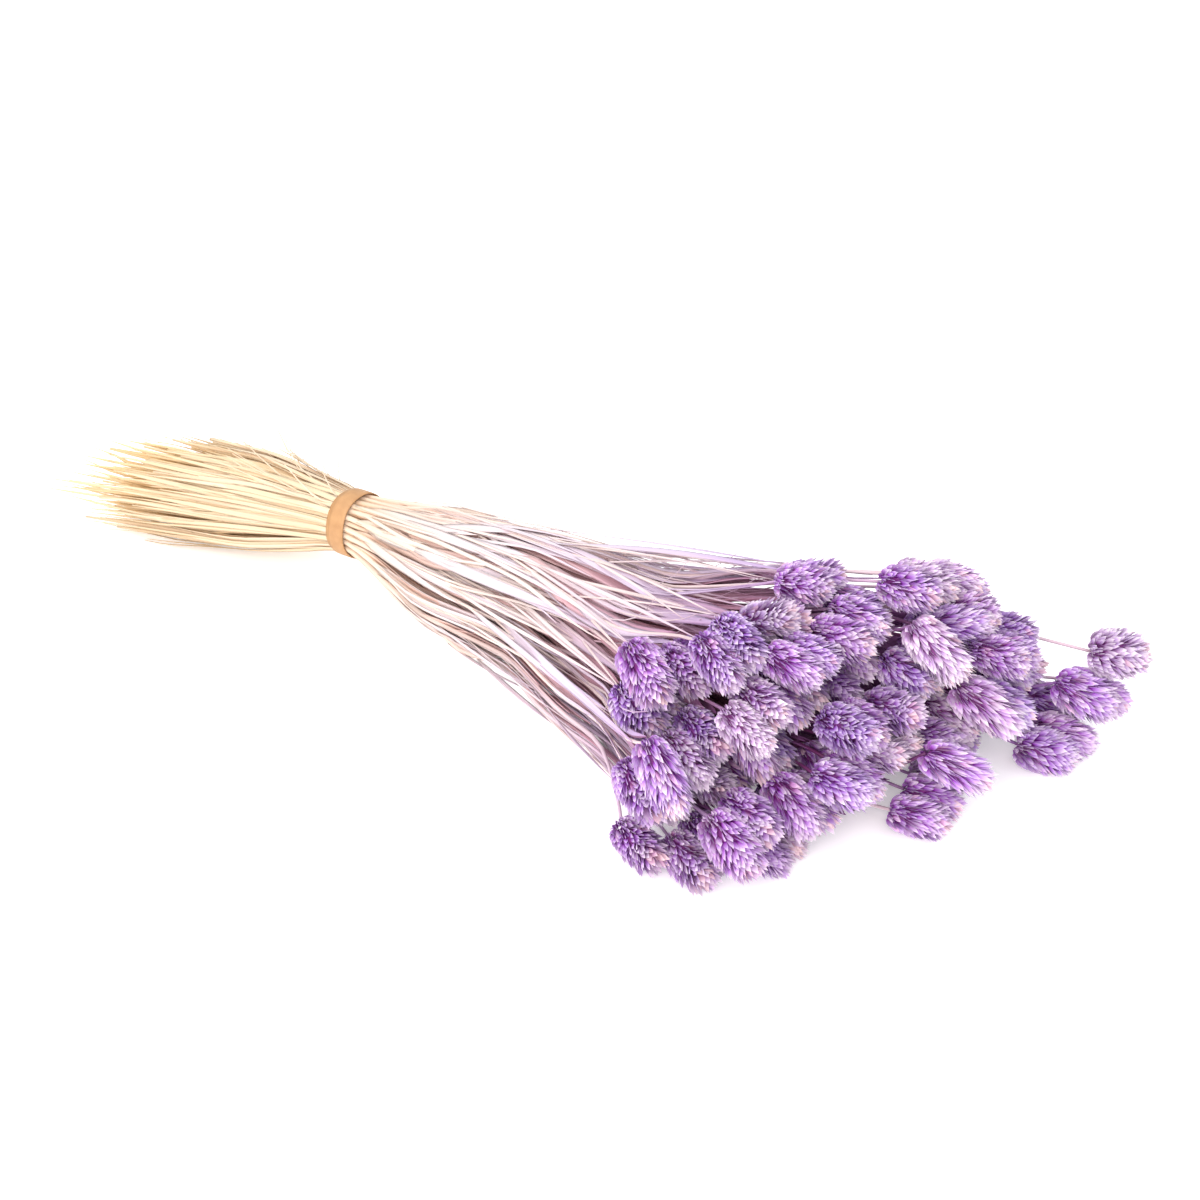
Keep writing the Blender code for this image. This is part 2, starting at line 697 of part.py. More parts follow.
def add_band(bm):
    """The rubber band: two flat turns, the outer one lying a little askew on the inner."""
    inner = BAND_INNER_RADIUS
    middle = inner + BAND_TURN_THICKNESS
    outer = middle + BAND_TURN_THICKNESS
    half = 0.5 * BAND_TURN_WIDTH
    rings = []
    for side in range(BAND_SIDES):
        angle = 2.0 * math.pi * side / BAND_SIDES
        skew = BAND_TURN_SHIFT * (1.0 + BAND_SKEW * math.cos(angle))
        profile = (
            (-half - skew, inner), (half - skew, inner), (half - skew, middle),
            (half + skew, middle), (half + skew, outer), (-half + skew, outer),
            (-half + skew, middle), (-half - skew, middle),
        )
        rings.append([bm.verts.new((BAND_X + along, BAND_Y + radius * math.cos(angle),
                                    BAND_Z + radius * math.sin(angle)))
                      for along, radius in profile])
    for ring, after in zip(rings, rings[1:] + rings[:1]):
        for corner in range(len(ring)):
            following = (corner + 1) % len(ring)
            quad(bm, ring[corner], ring[following], after[following], after[corner])


def settle_on_origin(parts):
    """Move every part so that the origin lies under the middle of the bunch."""
    points = [part.matrix_world @ vertex.co for part in parts for vertex in part.data.vertices]
    middle_x = 0.5 * (min(p.x for p in points) + max(p.x for p in points))
    middle_y = 0.5 * (min(p.y for p in points) + max(p.y for p in points))
    bottom = min(p.z for p in points)
    for part in parts:
        part.location = Vector((-middle_x, -middle_y, -bottom))


def main():
    for old in list(bpy.data.objects):
        bpy.data.objects.remove(old)
    materials = {name: new_material(name) for name in COLOURS}
    stalks = make_stalks()
    planes, place = settle(stalks)
    parts = []

    band = loose_object("rubber_band", add_band)
    band.data.materials.append(materials["band"])
    parts.append(band)

    blade_draw = random.Random(SEED + 2)
    for layer in range(LAYERS):
        members = [index for index, stalk in enumerate(stalks) if stalk["layer"] == layer]
        stems = []
        for index in members:
            base, tip = head_line(stalks[index], planes, place, index)
            points = stem_points(stalks[index], planes, place, index)
            stems.append((points, (tip - base).normalized()))
        shapes = [loose_object("stems", add_layer, stems)]
        for _ in range(BLADES_PER_LAYER):
            stalk = stalks[blade_draw.choice(members)]
            shapes.append(loose_object("blade", add_blade, stalk, blade_draw))
        body = fuse("stalks_layer_%d" % (layer + 1), shapes)
        body.data.materials.clear()
        body.data.materials.append(materials["stalks"])
        parts.append(body)

    units = {}
    for index, stalk in enumerate(stalks):
        units.setdefault((stalk["layer"], stalk["unit"]), []).append(index)
    for number, members in enumerate(units.values(), start=1):
        shapes = []
        lines = [head_line(stalks[index], planes, place, index) for index in members]
        for order, (index, (base, tip)) in enumerate(zip(members, lines)):
            roll = stalks[index]["roll"]
            if len(members) == 2:
                roll = facing_roll(base, tip, sum(lines[1 - order], Vector()) * 0.5, order)
            shapes.append(loose_object("head", add_head, base, tip, stalks[index]["radius"],
                                       roll))
        body = fuse("heads_%02d" % number, shapes)
        body.data.materials.clear()
        body.data.materials.append(materials["heads"])
        parts.append(body)

    settle_on_origin(parts)
    triangles = sum(len(polygon.vertices) - 2 for part in parts for polygon in part.data.polygons)
    print("nodes", len(parts), "stalks", len(stalks), "triangles", triangles)


main()
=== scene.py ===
# %% [markdown]
# # A bunch of dried canary grass
#
# The bunch lies on its side. Straw-coloured cut ends fan out behind a rubber band. In front of
# the band the stems and their papery leaves are dyed, and they spread into a dome of seed heads.
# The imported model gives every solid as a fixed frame. This lesson lays the finer, coloured
# pieces over those solids: first the stems, then the leaves, the heads and the band.

import math
import random

import bmesh
import bpy
import numpy as np
from mathutils import Matrix, Vector


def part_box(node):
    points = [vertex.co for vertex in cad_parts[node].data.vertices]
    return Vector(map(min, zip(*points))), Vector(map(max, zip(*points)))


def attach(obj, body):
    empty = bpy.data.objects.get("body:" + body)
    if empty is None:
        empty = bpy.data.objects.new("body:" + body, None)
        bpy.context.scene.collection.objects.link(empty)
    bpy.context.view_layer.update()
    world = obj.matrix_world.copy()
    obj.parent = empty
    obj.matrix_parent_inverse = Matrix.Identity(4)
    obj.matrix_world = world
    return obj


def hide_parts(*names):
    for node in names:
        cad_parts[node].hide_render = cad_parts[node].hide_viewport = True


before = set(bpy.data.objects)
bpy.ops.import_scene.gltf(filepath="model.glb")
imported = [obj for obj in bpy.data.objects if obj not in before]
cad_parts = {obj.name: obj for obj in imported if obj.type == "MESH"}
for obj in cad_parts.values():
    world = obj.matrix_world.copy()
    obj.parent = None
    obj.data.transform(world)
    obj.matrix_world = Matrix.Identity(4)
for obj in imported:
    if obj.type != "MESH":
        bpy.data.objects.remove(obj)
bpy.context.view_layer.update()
print("solids:", len(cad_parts))

# %% [markdown]
# ## The rule that places the stalks
#
# A grower's bunch has no plan, but it has an order: stalks lie in layers from the table up, are
# squeezed into a disc by the band, and open again towards the heads. The solids were placed by
# such a rule, so the same rule is repeated here. That puts every fine stem inside its solid
# without measuring a single point of it. All lengths are in metres.

# %% The band and the layers
SEED = 12
BAND_X = -0.165
BAND_Y = 0.011
BAND_Z = 0.032
BAND_INNER_RADIUS = 0.01645
BAND_SIDES = 26
GAP = 0.0003
LAYERS = 7
HEAD_PITCH = 0.0146
LAYER_PITCH = 0.0117
LOWEST_HEAD_Z = 0.0096
HEADS_CENTRE_Y = -0.018
HEADS_HALF_WIDTH = 0.097
WIDEST_Z = 0.028
DOME_HEIGHT = 0.062
DOME_NARROWEST = 0.05
HEADS_TOP = 0.102
DOME_FALL = 0.030
LAYER_IN_BAND = (-0.71, -0.42, -0.13, 0.15, 0.41, 0.65, 0.87)
UNIT_SIZES = (2, 2, 2, 2, 1)

# %% The heads and how unevenly they grew
HEAD_RADIUS = 0.0093
HEAD_LENGTH = 0.0268
HEAD_OUTLINE = (
    (-0.05, 0.45), (0.0, 0.60), (0.15, 0.90), (0.35, 1.0),
    (0.60, 1.0), (0.80, 0.86), (0.95, 0.62), (1.05, 0.40),
)
HEAD_MARGIN = 0.05
FRONT_X = 0.201
FRONT_SKEW = 0.052
FRONT_ROUND = 0.026
FRONT_LEAN = 0.058
REACH_STEP = 0.027
REACH_SIDE = 0.25
REACH_RISE = 0.40
REACH_LAYERS = 3
PAIR_SPACING = 0.82
STRAY_LAYER = 3
STRAY_REACH = 0.026
STRAY_SHIFT = 0.006
RADIUS_SPREAD = (0.90, 1.08)
LENGTH_SPREAD = (0.90, 1.10)
SHIFT_Y = 0.0038
SHIFT_Z = 0.0040
TILT = 0.16
TILT_OUTWARD = 0.27
TILT_UPWARD = 0.22
TILT_LEVEL = 0.58
UNIT_SHIFT_X = 0.009
MATE_SHIFT_X = 0.0015

# %% The stems
STEM_RADIUS_BAND = 0.0016
CUT_X = -0.317
CUT_RAGGED = 0.016
CUT_LONGEST = 0.014
CUT_LONG_ABOVE = 0.93
# The stalks are cut in a point: the higher and the further out, the shorter they are
CUT_STEPPED = 0.080
CUT_LONG_LAYER = 0.25
CUT_SIDES = 0.012
BRUSH_X = -0.220
# Behind the band the stalks open like a brush: x, the middle's y and z, and the spread of y
# and of z against the band
BRUSH = (
    (CUT_X, -0.004, 0.0235, 2.15, 1.85),
    (BRUSH_X, 0.0055, 0.0295, 1.60, 1.70),
    (BAND_X, BAND_Y, BAND_Z, 1.0, 1.0),
)
BAND_HALF_STRETCH = 0.009
NECK = 0.004
# The bunch's middle line: x and y
MIDDLE_LINE = (
    (BAND_X, BAND_Y), (-0.045, 0.004), (0.040, -0.009), (0.120, HEADS_CENTRE_Y),
)
# x, share of the full width, height of the lowest and of the highest layer
FLARE = (
    (-0.105, 0.25, 0.0050, 0.0550),
    (-0.040, 0.28, 0.0000, 0.0590),
    (0.033, 0.51, 0.0000, 0.0620),
    (0.070, 0.75, 0.0065, 0.0750),
    (0.105, 0.93, 0.0096, 0.0825),
    (0.135, 0.98, 0.0096, 0.0828),
    (0.260, 1.08, 0.0096, 0.0828),
)

# %% The shape of the bunch across its length


def look_up(table, x):
    """What a table says at x: its columns after the first, read off between the rows."""
    columns = np.array(table).T
    return [np.interp(x, columns[0], column) for column in columns[1:]]


def layer_half_width(height):
    """Half the width of the heads' cross-section at a height above the table."""
    squeeze = 1.0 - ((height - WIDEST_Z) / DOME_HEIGHT) ** 2
    return HEADS_HALF_WIDTH * math.sqrt(max(squeeze, DOME_NARROWEST))


def front_reach(side, rise):
    """x of the foremost head's tip, for a place across (-1 to 1) and up (0 to 1)."""
    return FRONT_X + FRONT_SKEW * side - FRONT_ROUND * side ** 2 - FRONT_LEAN * rise ** 1.5


def ragged_cut(draw, across, rise):
    """x of a cut end. A few stalks were cut longer than the rest."""
    longer = CUT_LONGEST if draw.random() > CUT_LONG_ABOVE else 0.0
    shorter = CUT_STEPPED * (rise - CUT_LONG_LAYER) ** 2 + CUT_SIDES * across ** 2
    return CUT_X - draw.uniform(-1.0, 1.0) * CUT_RAGGED - longer + shorter


print("half width at the widest:", round(layer_half_width(WIDEST_Z), 4))

# %% [markdown]
# ## One entry for each stalk
#
# Each stalk gets its layer, its place across the layer, the size and tilt of its head and the
# length at which it was cut. The draws come from one seeded source in a fixed order, so the
# same bunch appears every time.

# %% Make the stalks


def make_stalks():
    """Place every stalk by rule: its layer, its place in the layer, and its head's reach."""
    draw = random.Random(SEED)
    stalks = []
    for layer in range(LAYERS):
        height = LOWEST_HEAD_Z + LAYER_PITCH * layer
        half = layer_half_width(height)
        count = round(2.0 * half / HEAD_PITCH) + 1
        unit = 0
        left_in_unit = UNIT_SIZES[0] if layer % 2 == 0 else 1
        for place in range(count):
            if left_in_unit == 0:
                unit += 1
                left_in_unit = UNIT_SIZES[unit % len(UNIT_SIZES)]
            left_in_unit -= 1
            across = 2.0 * place / (count - 1) - 1.0
            side = across * half / HEADS_HALF_WIDTH
            rise = layer / (LAYERS - 1)
            stalks.append({
                "layer": layer,
                "in_layer": count,
                "unit": unit,
                "across": across,
                "side": side,
                "rise": rise,
                "radius": HEAD_RADIUS * draw.uniform(*RADIUS_SPREAD),
                "length": HEAD_LENGTH * draw.uniform(*LENGTH_SPREAD),
                "shift_y": draw.uniform(-SHIFT_Y, SHIFT_Y),
                "shift_z": draw.uniform(-SHIFT_Z, SHIFT_Z),
                "tilt_y": draw.uniform(-TILT, TILT) + TILT_OUTWARD * side * abs(side),
                "tilt_z": draw.uniform(-TILT, TILT) + TILT_UPWARD * (rise - TILT_LEVEL),
                "roll": draw.uniform(0.0, 2.0 * math.pi),
                "cut_x": ragged_cut(draw, across, rise),
            })
    reach_draw = random.Random(SEED + 1)
    unit_reach = {}
    for stalk in stalks:
        key = (stalk["layer"], stalk["unit"])
        if key not in unit_reach:
            step = (stalk["unit"] + 2 * stalk["layer"]) % REACH_LAYERS
            depth = REACH_STEP * (1.0 - REACH_SIDE + REACH_SIDE * stalk["side"])
            depth *= 1.0 - REACH_RISE * stalk["rise"]
            tip = front_reach(stalk["side"], stalk["rise"]) - step * depth
            unit_reach[key] = tip + reach_draw.uniform(-UNIT_SHIFT_X, UNIT_SHIFT_X)
        stalk["tip_x"] = unit_reach[key] + reach_draw.uniform(-MATE_SHIFT_X, MATE_SHIFT_X)
    stray = [stalk for stalk in stalks if stalk["layer"] == STRAY_LAYER][-1]
    stray["tip_x"] = front_reach(stray["side"], stray["rise"]) + STRAY_REACH
    stray["shift_y"] = STRAY_SHIFT
    stray["unit"] = "stray"
    for stalk in stalks:
        stalk["base_x"] = stalk["tip_x"] - stalk["length"]
    return stalks


stalks = make_stalks()
print("stalks:", len(stalks))

# %% Where a stalk runs


def rule_path(stalk, x):
    """Where a stalk's middle line lies at x, before the heads are settled."""
    share, low, high = look_up(FLARE, x)
    half = layer_half_width(LOWEST_HEAD_Z + LAYER_PITCH * stalk["layer"]) * share
    y = look_up(MIDDLE_LINE, x)[0] + stalk["across"] * half + stalk["shift_y"] * share ** 2
    z = low + (high - low) * stalk["rise"]
    if low > 0.0:
        z += stalk["shift_z"] * share ** 2
    return y, z


def band_place(stalk):
    """Where a stalk passes through the band."""
    reach = BAND_INNER_RADIUS - GAP * 1.5 - STEM_RADIUS_BAND
    up = LAYER_IN_BAND[stalk["layer"]] * reach
    wall = BAND_INNER_RADIUS * math.cos(math.pi / BAND_SIDES) - GAP
    foot = math.sqrt(wall ** 2 - (up - 0.5 * STEM_RADIUS_BAND) ** 2)
    top = math.sqrt(wall ** 2 - (up + STEM_RADIUS_BAND) ** 2)
    half = min(foot * (1.0 - 1.0 / stalk["in_layer"]), top)
    return BAND_Y + stalk["across"] * half, BAND_Z + up


# %% [markdown]
# ## Settling the heads
#
# Heads in a bunch push each other aside until they all fit. Here the bunch is cut into planes
# across its length. In each plane every stalk is a disc, and overlapping discs move apart, while
# heads stay straight and stems stay smooth. A few hundred rounds leave no two pieces crossing.

# %% Settle
PLANE_START = 0.033
PLANE_STEP = 0.006
PLANES = 39
STEM_CLEAR = 0.0016
HEAD_CLEAR = 0.0005
SETTLE_ROUNDS = 420
LATE_SHARE = 0.6
LEAN_EVERY = 20
LEAN_WIDENS = 0.6
STEEPEST_LEAN = 0.62
PUSH_STRENGTH = 0.55
MATE_STRENGTH = 0.35
SMOOTH_EARLY = 0.45
SMOOTH_LATE = 0.15
HOLD_SHAPE = 0.01
HEAD_WEIGHT = 0.35
REST_SHARE = 0.93
LEAD = 0.03


def settle(stalks):
    """Press the heads and stems apart in planes across the bunch until nothing crosses."""
    count = len(stalks)
    planes = PLANE_START + PLANE_STEP * np.arange(PLANES)
    base_x, tip_x, radius = (np.array([stalk[key] for stalk in stalks])
                             for key in ("base_x", "tip_x", "radius"))
    place = np.zeros((count, PLANES, 2))
    for index, stalk in enumerate(stalks):
        base_y, base_z = rule_path(stalk, stalk["base_x"])
        before_y, _ = rule_path(stalk, stalk["base_x"] - LEAD)
        slope_y = (base_y - before_y) / LEAD + stalk["tilt_y"]
        for plane, x in enumerate(planes):
            run = x - stalk["base_x"]
            place[index, plane] = (rule_path(stalk, x) if run <= 0.0 else
                                   (base_y + run * slope_y, base_z + run * stalk["tilt_z"]))
    start = place.copy()
    share = (planes[None, :] - base_x[:, None]) / (tip_x - base_x)[:, None]
    in_head = (share > -HEAD_MARGIN) & (share < 1.0 + HEAD_MARGIN)
    active = share < 1.0 + HEAD_MARGIN
    outline = radius[:, None] * look_up(HEAD_OUTLINE, share)[0]
    girth = np.where(in_head, outline + HEAD_CLEAR, STEM_CLEAR)
    floor = np.where(in_head, outline * REST_SHARE, 0.0)
    weight = np.where(in_head, HEAD_WEIGHT, 1.0)
    mates = [(first, second) for first in range(count) for second in range(first + 1, count)
             if stalks[first]["layer"] == stalks[second]["layer"]
             and stalks[first]["unit"] == stalks[second]["unit"]]
    is_mate = np.zeros((count, count), bool)
    for first, second in mates:
        is_mate[first, second] = is_mate[second, first] = True
    both_heads = in_head[:, None, :] & in_head[None, :, :]
    pairs = active[:, None, :] & active[None, :, :] & ~(is_mate[:, :, None] & both_heads)
    pairs[np.arange(count), np.arange(count), :] = False
    part = weight[:, None, :] / (weight[:, None, :] + weight[None, :, :])
    slopes = np.zeros((count, 2))
    for turn in range(SETTLE_ROUNDS):
        late = turn > SETTLE_ROUNDS * LATE_SHARE
        if turn % LEAN_EVERY == 0:
            lean = LEAN_WIDENS * (slopes ** 2).sum(axis=1)[:, None]
            wide = girth * np.where(in_head, 1.0 + lean, 1.0)
            reach = wide[:, None, :] + wide[None, :, :]
        apart = place[:, None, :, :] - place[None, :, :, :]
        distance = np.sqrt((apart ** 2).sum(axis=3)) + 1e-9
        push = np.where(pairs & (distance < reach), (reach - distance) / distance, 0.0)
        move = (apart * (push * part)[..., None]).sum(axis=1)
        place += PUSH_STRENGTH * move
        for first, second in mates:
            shared = in_head[first] & in_head[second]
            line = place[first, shared] - place[second, shared]
            length = np.sqrt((line ** 2).sum(axis=1))[:, None] + 1e-9
            target = PAIR_SPACING * (radius[first] + radius[second])
            fix = MATE_STRENGTH * (target - length) / length * line
            place[first, shared] += fix
            place[second, shared] -= fix
        for index in range(count):
            inside = in_head[index]
            xs = planes[inside] - planes[inside].mean()
            middle = place[index, inside].mean(axis=0)
            slope = (xs[:, None] * (place[index, inside] - middle)).sum(axis=0) / (xs ** 2).sum()
            slopes[index] = np.clip(slope, -STEEPEST_LEAN, STEEPEST_LEAN)
            place[index, inside] = middle + xs[:, None] * slopes[index]
        bend = 0.5 * (place[:, :-2] + place[:, 2:]) - place[:, 1:-1]
        stem_inside = ~in_head[:, 1:-1] & active[:, 1:-1]
        smooth = SMOOTH_LATE if late else SMOOTH_EARLY
        place[:, 1:-1] += np.where(stem_inside[..., None], smooth * bend, 0.0)
        if not late:
            place += HOLD_SHAPE * (start - place)
        place[:, 0] = start[:, 0]
        place[..., 1] = np.maximum(place[..., 1], floor)
        out = (place[..., 0] - HEADS_CENTRE_Y) / HEADS_HALF_WIDTH
        ceiling = HEADS_TOP - DOME_FALL * out ** 2 - radius[:, None]
        place[..., 1] = np.where(in_head, np.minimum(place[..., 1], ceiling), place[..., 1])
    return planes, place


planes, place = settle(stalks)
print("planes:", len(planes))

# %% Read the head's line off the settled planes


def head_line(stalk, index):
    """The base and tip of a head, read off its straight run of settled points."""
    inside = (planes > stalk["base_x"] - 0.001) & (planes < stalk["tip_x"] + 0.001)
    xs = planes[inside]
    ys = np.polyfit(xs, place[index, inside, 0], 1)
    zs = np.polyfit(xs, place[index, inside, 1], 1)
    base = Vector((stalk["base_x"], *(np.polyval(fit, stalk["base_x"]) for fit in (ys, zs))))
    tip = Vector((stalk["tip_x"], *(np.polyval(fit, stalk["tip_x"]) for fit in (ys, zs))))
    return base, tip


lines = [head_line(stalk, index) for index, stalk in enumerate(stalks)]

# %% [markdown]
# ## From the rule's place to the model's place
#
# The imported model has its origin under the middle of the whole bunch, while the rule counts from
# a point in the fan. The band is the same on all sides of its middle, so the middle of its box
# gives the shift between the two. As a test, each node of heads is compared with its own line.

# %% Shift to the model's origin
low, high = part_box("rubber_band")
SHIFT = 0.5 * (Vector(low) + Vector(high)) - Vector((BAND_X, BAND_Y, BAND_Z))
units = {}
for index, stalk in enumerate(stalks):
    units.setdefault((stalk["layer"], stalk["unit"]), []).append(index)
units = list(units.values())
worst = 0.0
for number, members in enumerate(units, start=1):
    low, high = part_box("heads_%02d" % number)
    middle = 0.5 * (Vector(low) + Vector(high))
    rule = sum((0.5 * (lines[i][0] + lines[i][1]) for i in members), Vector()) / len(members)
    worst = max(worst, (rule + SHIFT - middle).length)
print("shift mm:", [round(1000.0 * value, 2) for value in SHIFT])
print("head nodes:", len(units), "largest difference mm:", round(1000.0 * worst, 2))

# %% [markdown]
# ## Sweeping a ring along a path
#
# Stems, leaves and wisps are all one ring of points that is drawn along a path. A round ring
# gives a stem, and a flat one with raised edges gives a leaf. A bmesh starts from a circle, and
# its edges are extruded once for each station. Every point keeps two notes that the materials
# read later: tone, for colour, and grain, a place along and across the straightened fibres.

# %% Sweep
CORNER = "corner"


def start_mesh():
    """An empty bmesh with the notes that every sweep writes."""
    bm = bmesh.new()
    bm.verts.layers.int.new(CORNER)
    bm.verts.layers.float_color.new("tone")
    bm.verts.layers.float_vector.new("grain")
    return bm


def to_mesh(bm, name):
    """Turn a bmesh into a mesh and free it."""
    mesh = bpy.data.meshes.new(name)
    bm.to_mesh(mesh)
    bm.free()
    return mesh


def start_ring(bm, sides):
    """A closed circle of numbered points in an empty bmesh. Returns its points and edges."""
    ring = bmesh.ops.create_circle(bm, segments=sides, radius=1.0)["verts"]
    for number, vert in enumerate(ring):
        vert[bm.verts.layers.int[CORNER]] = number
    edges = list(bm.edges)
    bmesh.ops.edgeloop_fill(bm, edges=edges)
    return ring, edges


def extrude_ring(bm, edges):
    """Extrude a ring once. Returns the new ring's points and edges."""
    made = bmesh.ops.extrude_edge_only(bm, edges=edges)["geom"]
    ring = [part for part in made if isinstance(part, bmesh.types.BMVert)]
    return ring, [part for part in made
                  if isinstance(part, bmesh.types.BMEdge) and part.is_boundary]


def sweep(bm, stations, sides, tint, offset):
    """Draw a ring along stations of (centre, side, lift, half width, half thickness, curl,
    wear and painted shade).

    side and lift are directions across the path. curl raises the edges, as a share of the
    width. tint is one number for the whole piece, and the note for wear and painted shade is kept
    for each station. The piece is drawn on its own and then added to bm, which is much faster.
    """
    own = start_mesh()
    corner = own.verts.layers.int[CORNER]
    tones = own.verts.layers.float_color["tone"]
    grains = own.verts.layers.float_vector["grain"]
    ring, edges = start_ring(own, sides)
    before, along = stations[0][0], 0.0
    for number, (centre, side, lift, half, thick, curl, wear_and_shade) in enumerate(stations):
        if number:
            ring, edges = extrude_ring(own, edges)
            along += (centre - before).length
            before = centre
        for vert in ring:
            angle = 2.0 * math.pi * vert[corner] / sides
            flat, up = half * math.cos(angle), thick * math.sin(angle)
            raised = up + curl * flat * flat / max(half, 1e-6)
            vert.co = centre + side * flat + lift * raised
            vert.co.z = max(vert.co.z, 0.0)
            vert[tones] = (tint, 0.0, wear_and_shade, 1.0)
            vert[grains] = Vector((along, flat, up)) + offset
    bmesh.ops.edgeloop_fill(own, edges=edges)
    bmesh.ops.recalc_face_normals(own, faces=own.faces)
    mesh = to_mesh(own, "swept")
    bm.from_mesh(mesh)
    bpy.data.meshes.remove(mesh)


def add_object(name, data):
    """Put a mesh, a lamp or a camera into the scene."""
    thing = bpy.data.objects.new(name, data)
    bpy.context.scene.collection.objects.link(thing)
    return thing


def finish_mesh(bm, name, material, smooth=True):
    """Close a bmesh into an object of the scene that rides on the bunch."""
    bmesh.ops.recalc_face_normals(bm, faces=bm.faces)
    bmesh.ops.translate(bm, vec=SHIFT, verts=bm.verts)
    for face in bm.faces:
        face.smooth = smooth
    piece = add_object(name, to_mesh(bm, name))
    piece.data.materials.append(material)
    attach(piece, "root")
    return piece


def triangles(pieces):
    """How many triangles some pieces have."""
    return sum(len(face.vertices) - 2 for piece in pieces for face in piece.data.polygons)


print("sweep is ready")

# %% [markdown]
# ## The colour of the straw
#
# The stalks were dipped in dye head first, so the cut ends kept their golden straw colour. From
# the band on, cream turns to a pale lilac. Whatever lies deep in the bunch is painted brown to
# wine-red, the colour of the shade in its gaps: painted shade. Three things make that colour: the
# place along the bunch, the note for depth, and one random number for each stalk. A further note
# adds wear and painted shade. Fine streaks follow the fibres.

# %% Helpers for materials


def linear(red, green, blue):
    """A colour picked on screen, 0 to 255, as the shader wants it."""
    parts = []
    for value in (red, green, blue):
        value /= 255.0
        parts.append(value / 12.92 if value <= 0.04045 else ((value + 0.055) / 1.055) ** 2.4)
    return (*parts, 1.0)


def new_material(name, roughness, specular=0.5):
    """A Principled material, its node tree and its shader."""
    material = bpy.data.materials.new(name)
    material.use_nodes = True
    shader = material.node_tree.nodes["Principled BSDF"]
    shader.inputs["Roughness"].default_value = roughness
    shader.inputs["Specular IOR Level"].default_value = specular
    return material, material.node_tree, shader


def add_node(tree, kind, inputs=None, **settings):
    """A node with its settings. Each input is a socket to link or a value."""
    node = tree.nodes.new(kind)
    for key, value in settings.items():
        setattr(node, key, value)
    for key, value in (inputs or {}).items():
        if isinstance(value, bpy.types.NodeSocket):
            tree.links.new(value, node.inputs[key])
        else:
            node.inputs[key].default_value = value
    return node


def ramp(tree, source, stops):
    """A colour ramp driven by source. stops are (place, red, green, blue)."""
    node = add_node(tree, "ShaderNodeValToRGB", {"Fac": source})
    points = node.color_ramp.elements
    while len(points) < len(stops):
        points.new(0.5)
    for point, (where, *colour) in zip(points, stops):
        point.position = where
        point.color = linear(*colour)
    return node.outputs["Color"]


def mix(tree, share, first, second):
    """Mix two colours by a share."""
    return add_node(tree, "ShaderNodeMix", {0: share, 6: first, 7: second},
                    data_type="RGBA").outputs[2]


def fit(tree, source, low_in, high_in, low_out, high_out):
    """Map a number from one range to another, held at its ends."""
    return add_node(tree, "ShaderNodeMapRange",
                    {0: source, 1: low_in, 2: high_in, 3: low_out, 4: high_out},
                    clamp=True).outputs[0]


def combine(tree, operation, first, second):
    """The sum or the product of two numbers, held between 0 and 1."""
    return add_node(tree, "ShaderNodeMath", {0: first, 1: second}, operation=operation,
                    use_clamp=True).outputs[0]


def read_notes(tree):
    """The four numbers of tone: tint, depth for painted shade, wear with painted shade, and edge.
    A glume uses them in its own way.
    """
    notes = add_node(tree, "ShaderNodeAttribute", attribute_name="tone")
    parts = add_node(tree, "ShaderNodeSeparateColor", {0: notes.outputs["Color"]})
    return (*parts.outputs, notes.outputs["Alpha"])


def roughen(tree, shader, height, strength, distance):
    """Drive the shader's bump by height."""
    bump = add_node(tree, "ShaderNodeBump",
                    {"Strength": strength, "Distance": distance, "Height": height})
    tree.links.new(bump.outputs["Normal"], shader.inputs["Normal"])


# %% The straw's material
# Colours along the bunch, from its cut ends (0) to the far end of the heads (1)
STRAW_SURFACE = (
    (0.00, 219, 193, 160), (0.26, 219, 194, 163), (0.315, 218, 197, 175), (0.38, 216, 199, 187),
    (0.50, 218, 201, 199), (0.60, 213, 196, 204), (0.72, 188, 154, 192), (0.95, 140, 96, 160),
)
# Painted shade: the warmer, darker colours of the gaps deep in the bunch
STRAW_PAINTED_SHADE = (
    (0.00, 238, 208, 160), (0.28, 236, 202, 154), (0.34, 234, 194, 168), (0.50, 236, 196, 190),
    (0.64, 214, 158, 172), (0.80, 124, 58, 112), (0.95, 84, 36, 88),
)
STRAW_CREAM = ((0.00, 225, 202, 166), (0.45, 232, 214, 199), (0.90, 230, 208, 206))
# Worn straw and painted shade: stained joints, worn tips and the leaves laid to fill shaded gaps
STRAW_WORN_AND_SHADE = (
    (0.00, 236, 204, 156), (0.32, 232, 198, 174), (0.50, 232, 192, 186), (0.66, 210, 158, 176),
    (0.76, 146, 88, 146), (0.95, 112, 60, 122),
)
LEAF_SURFACE = (
    (0.00, 221, 195, 155), (0.28, 224, 202, 170), (0.36, 218, 201, 192), (0.50, 219, 205, 213),
    (0.62, 211, 193, 214), (0.80, 160, 122, 184),
)
BUNCH_ENDS = (-0.28, 0.28)
# Noise is long along the fibres and fine across them
FIBRES = (18.0, 2300.0, 2300.0)


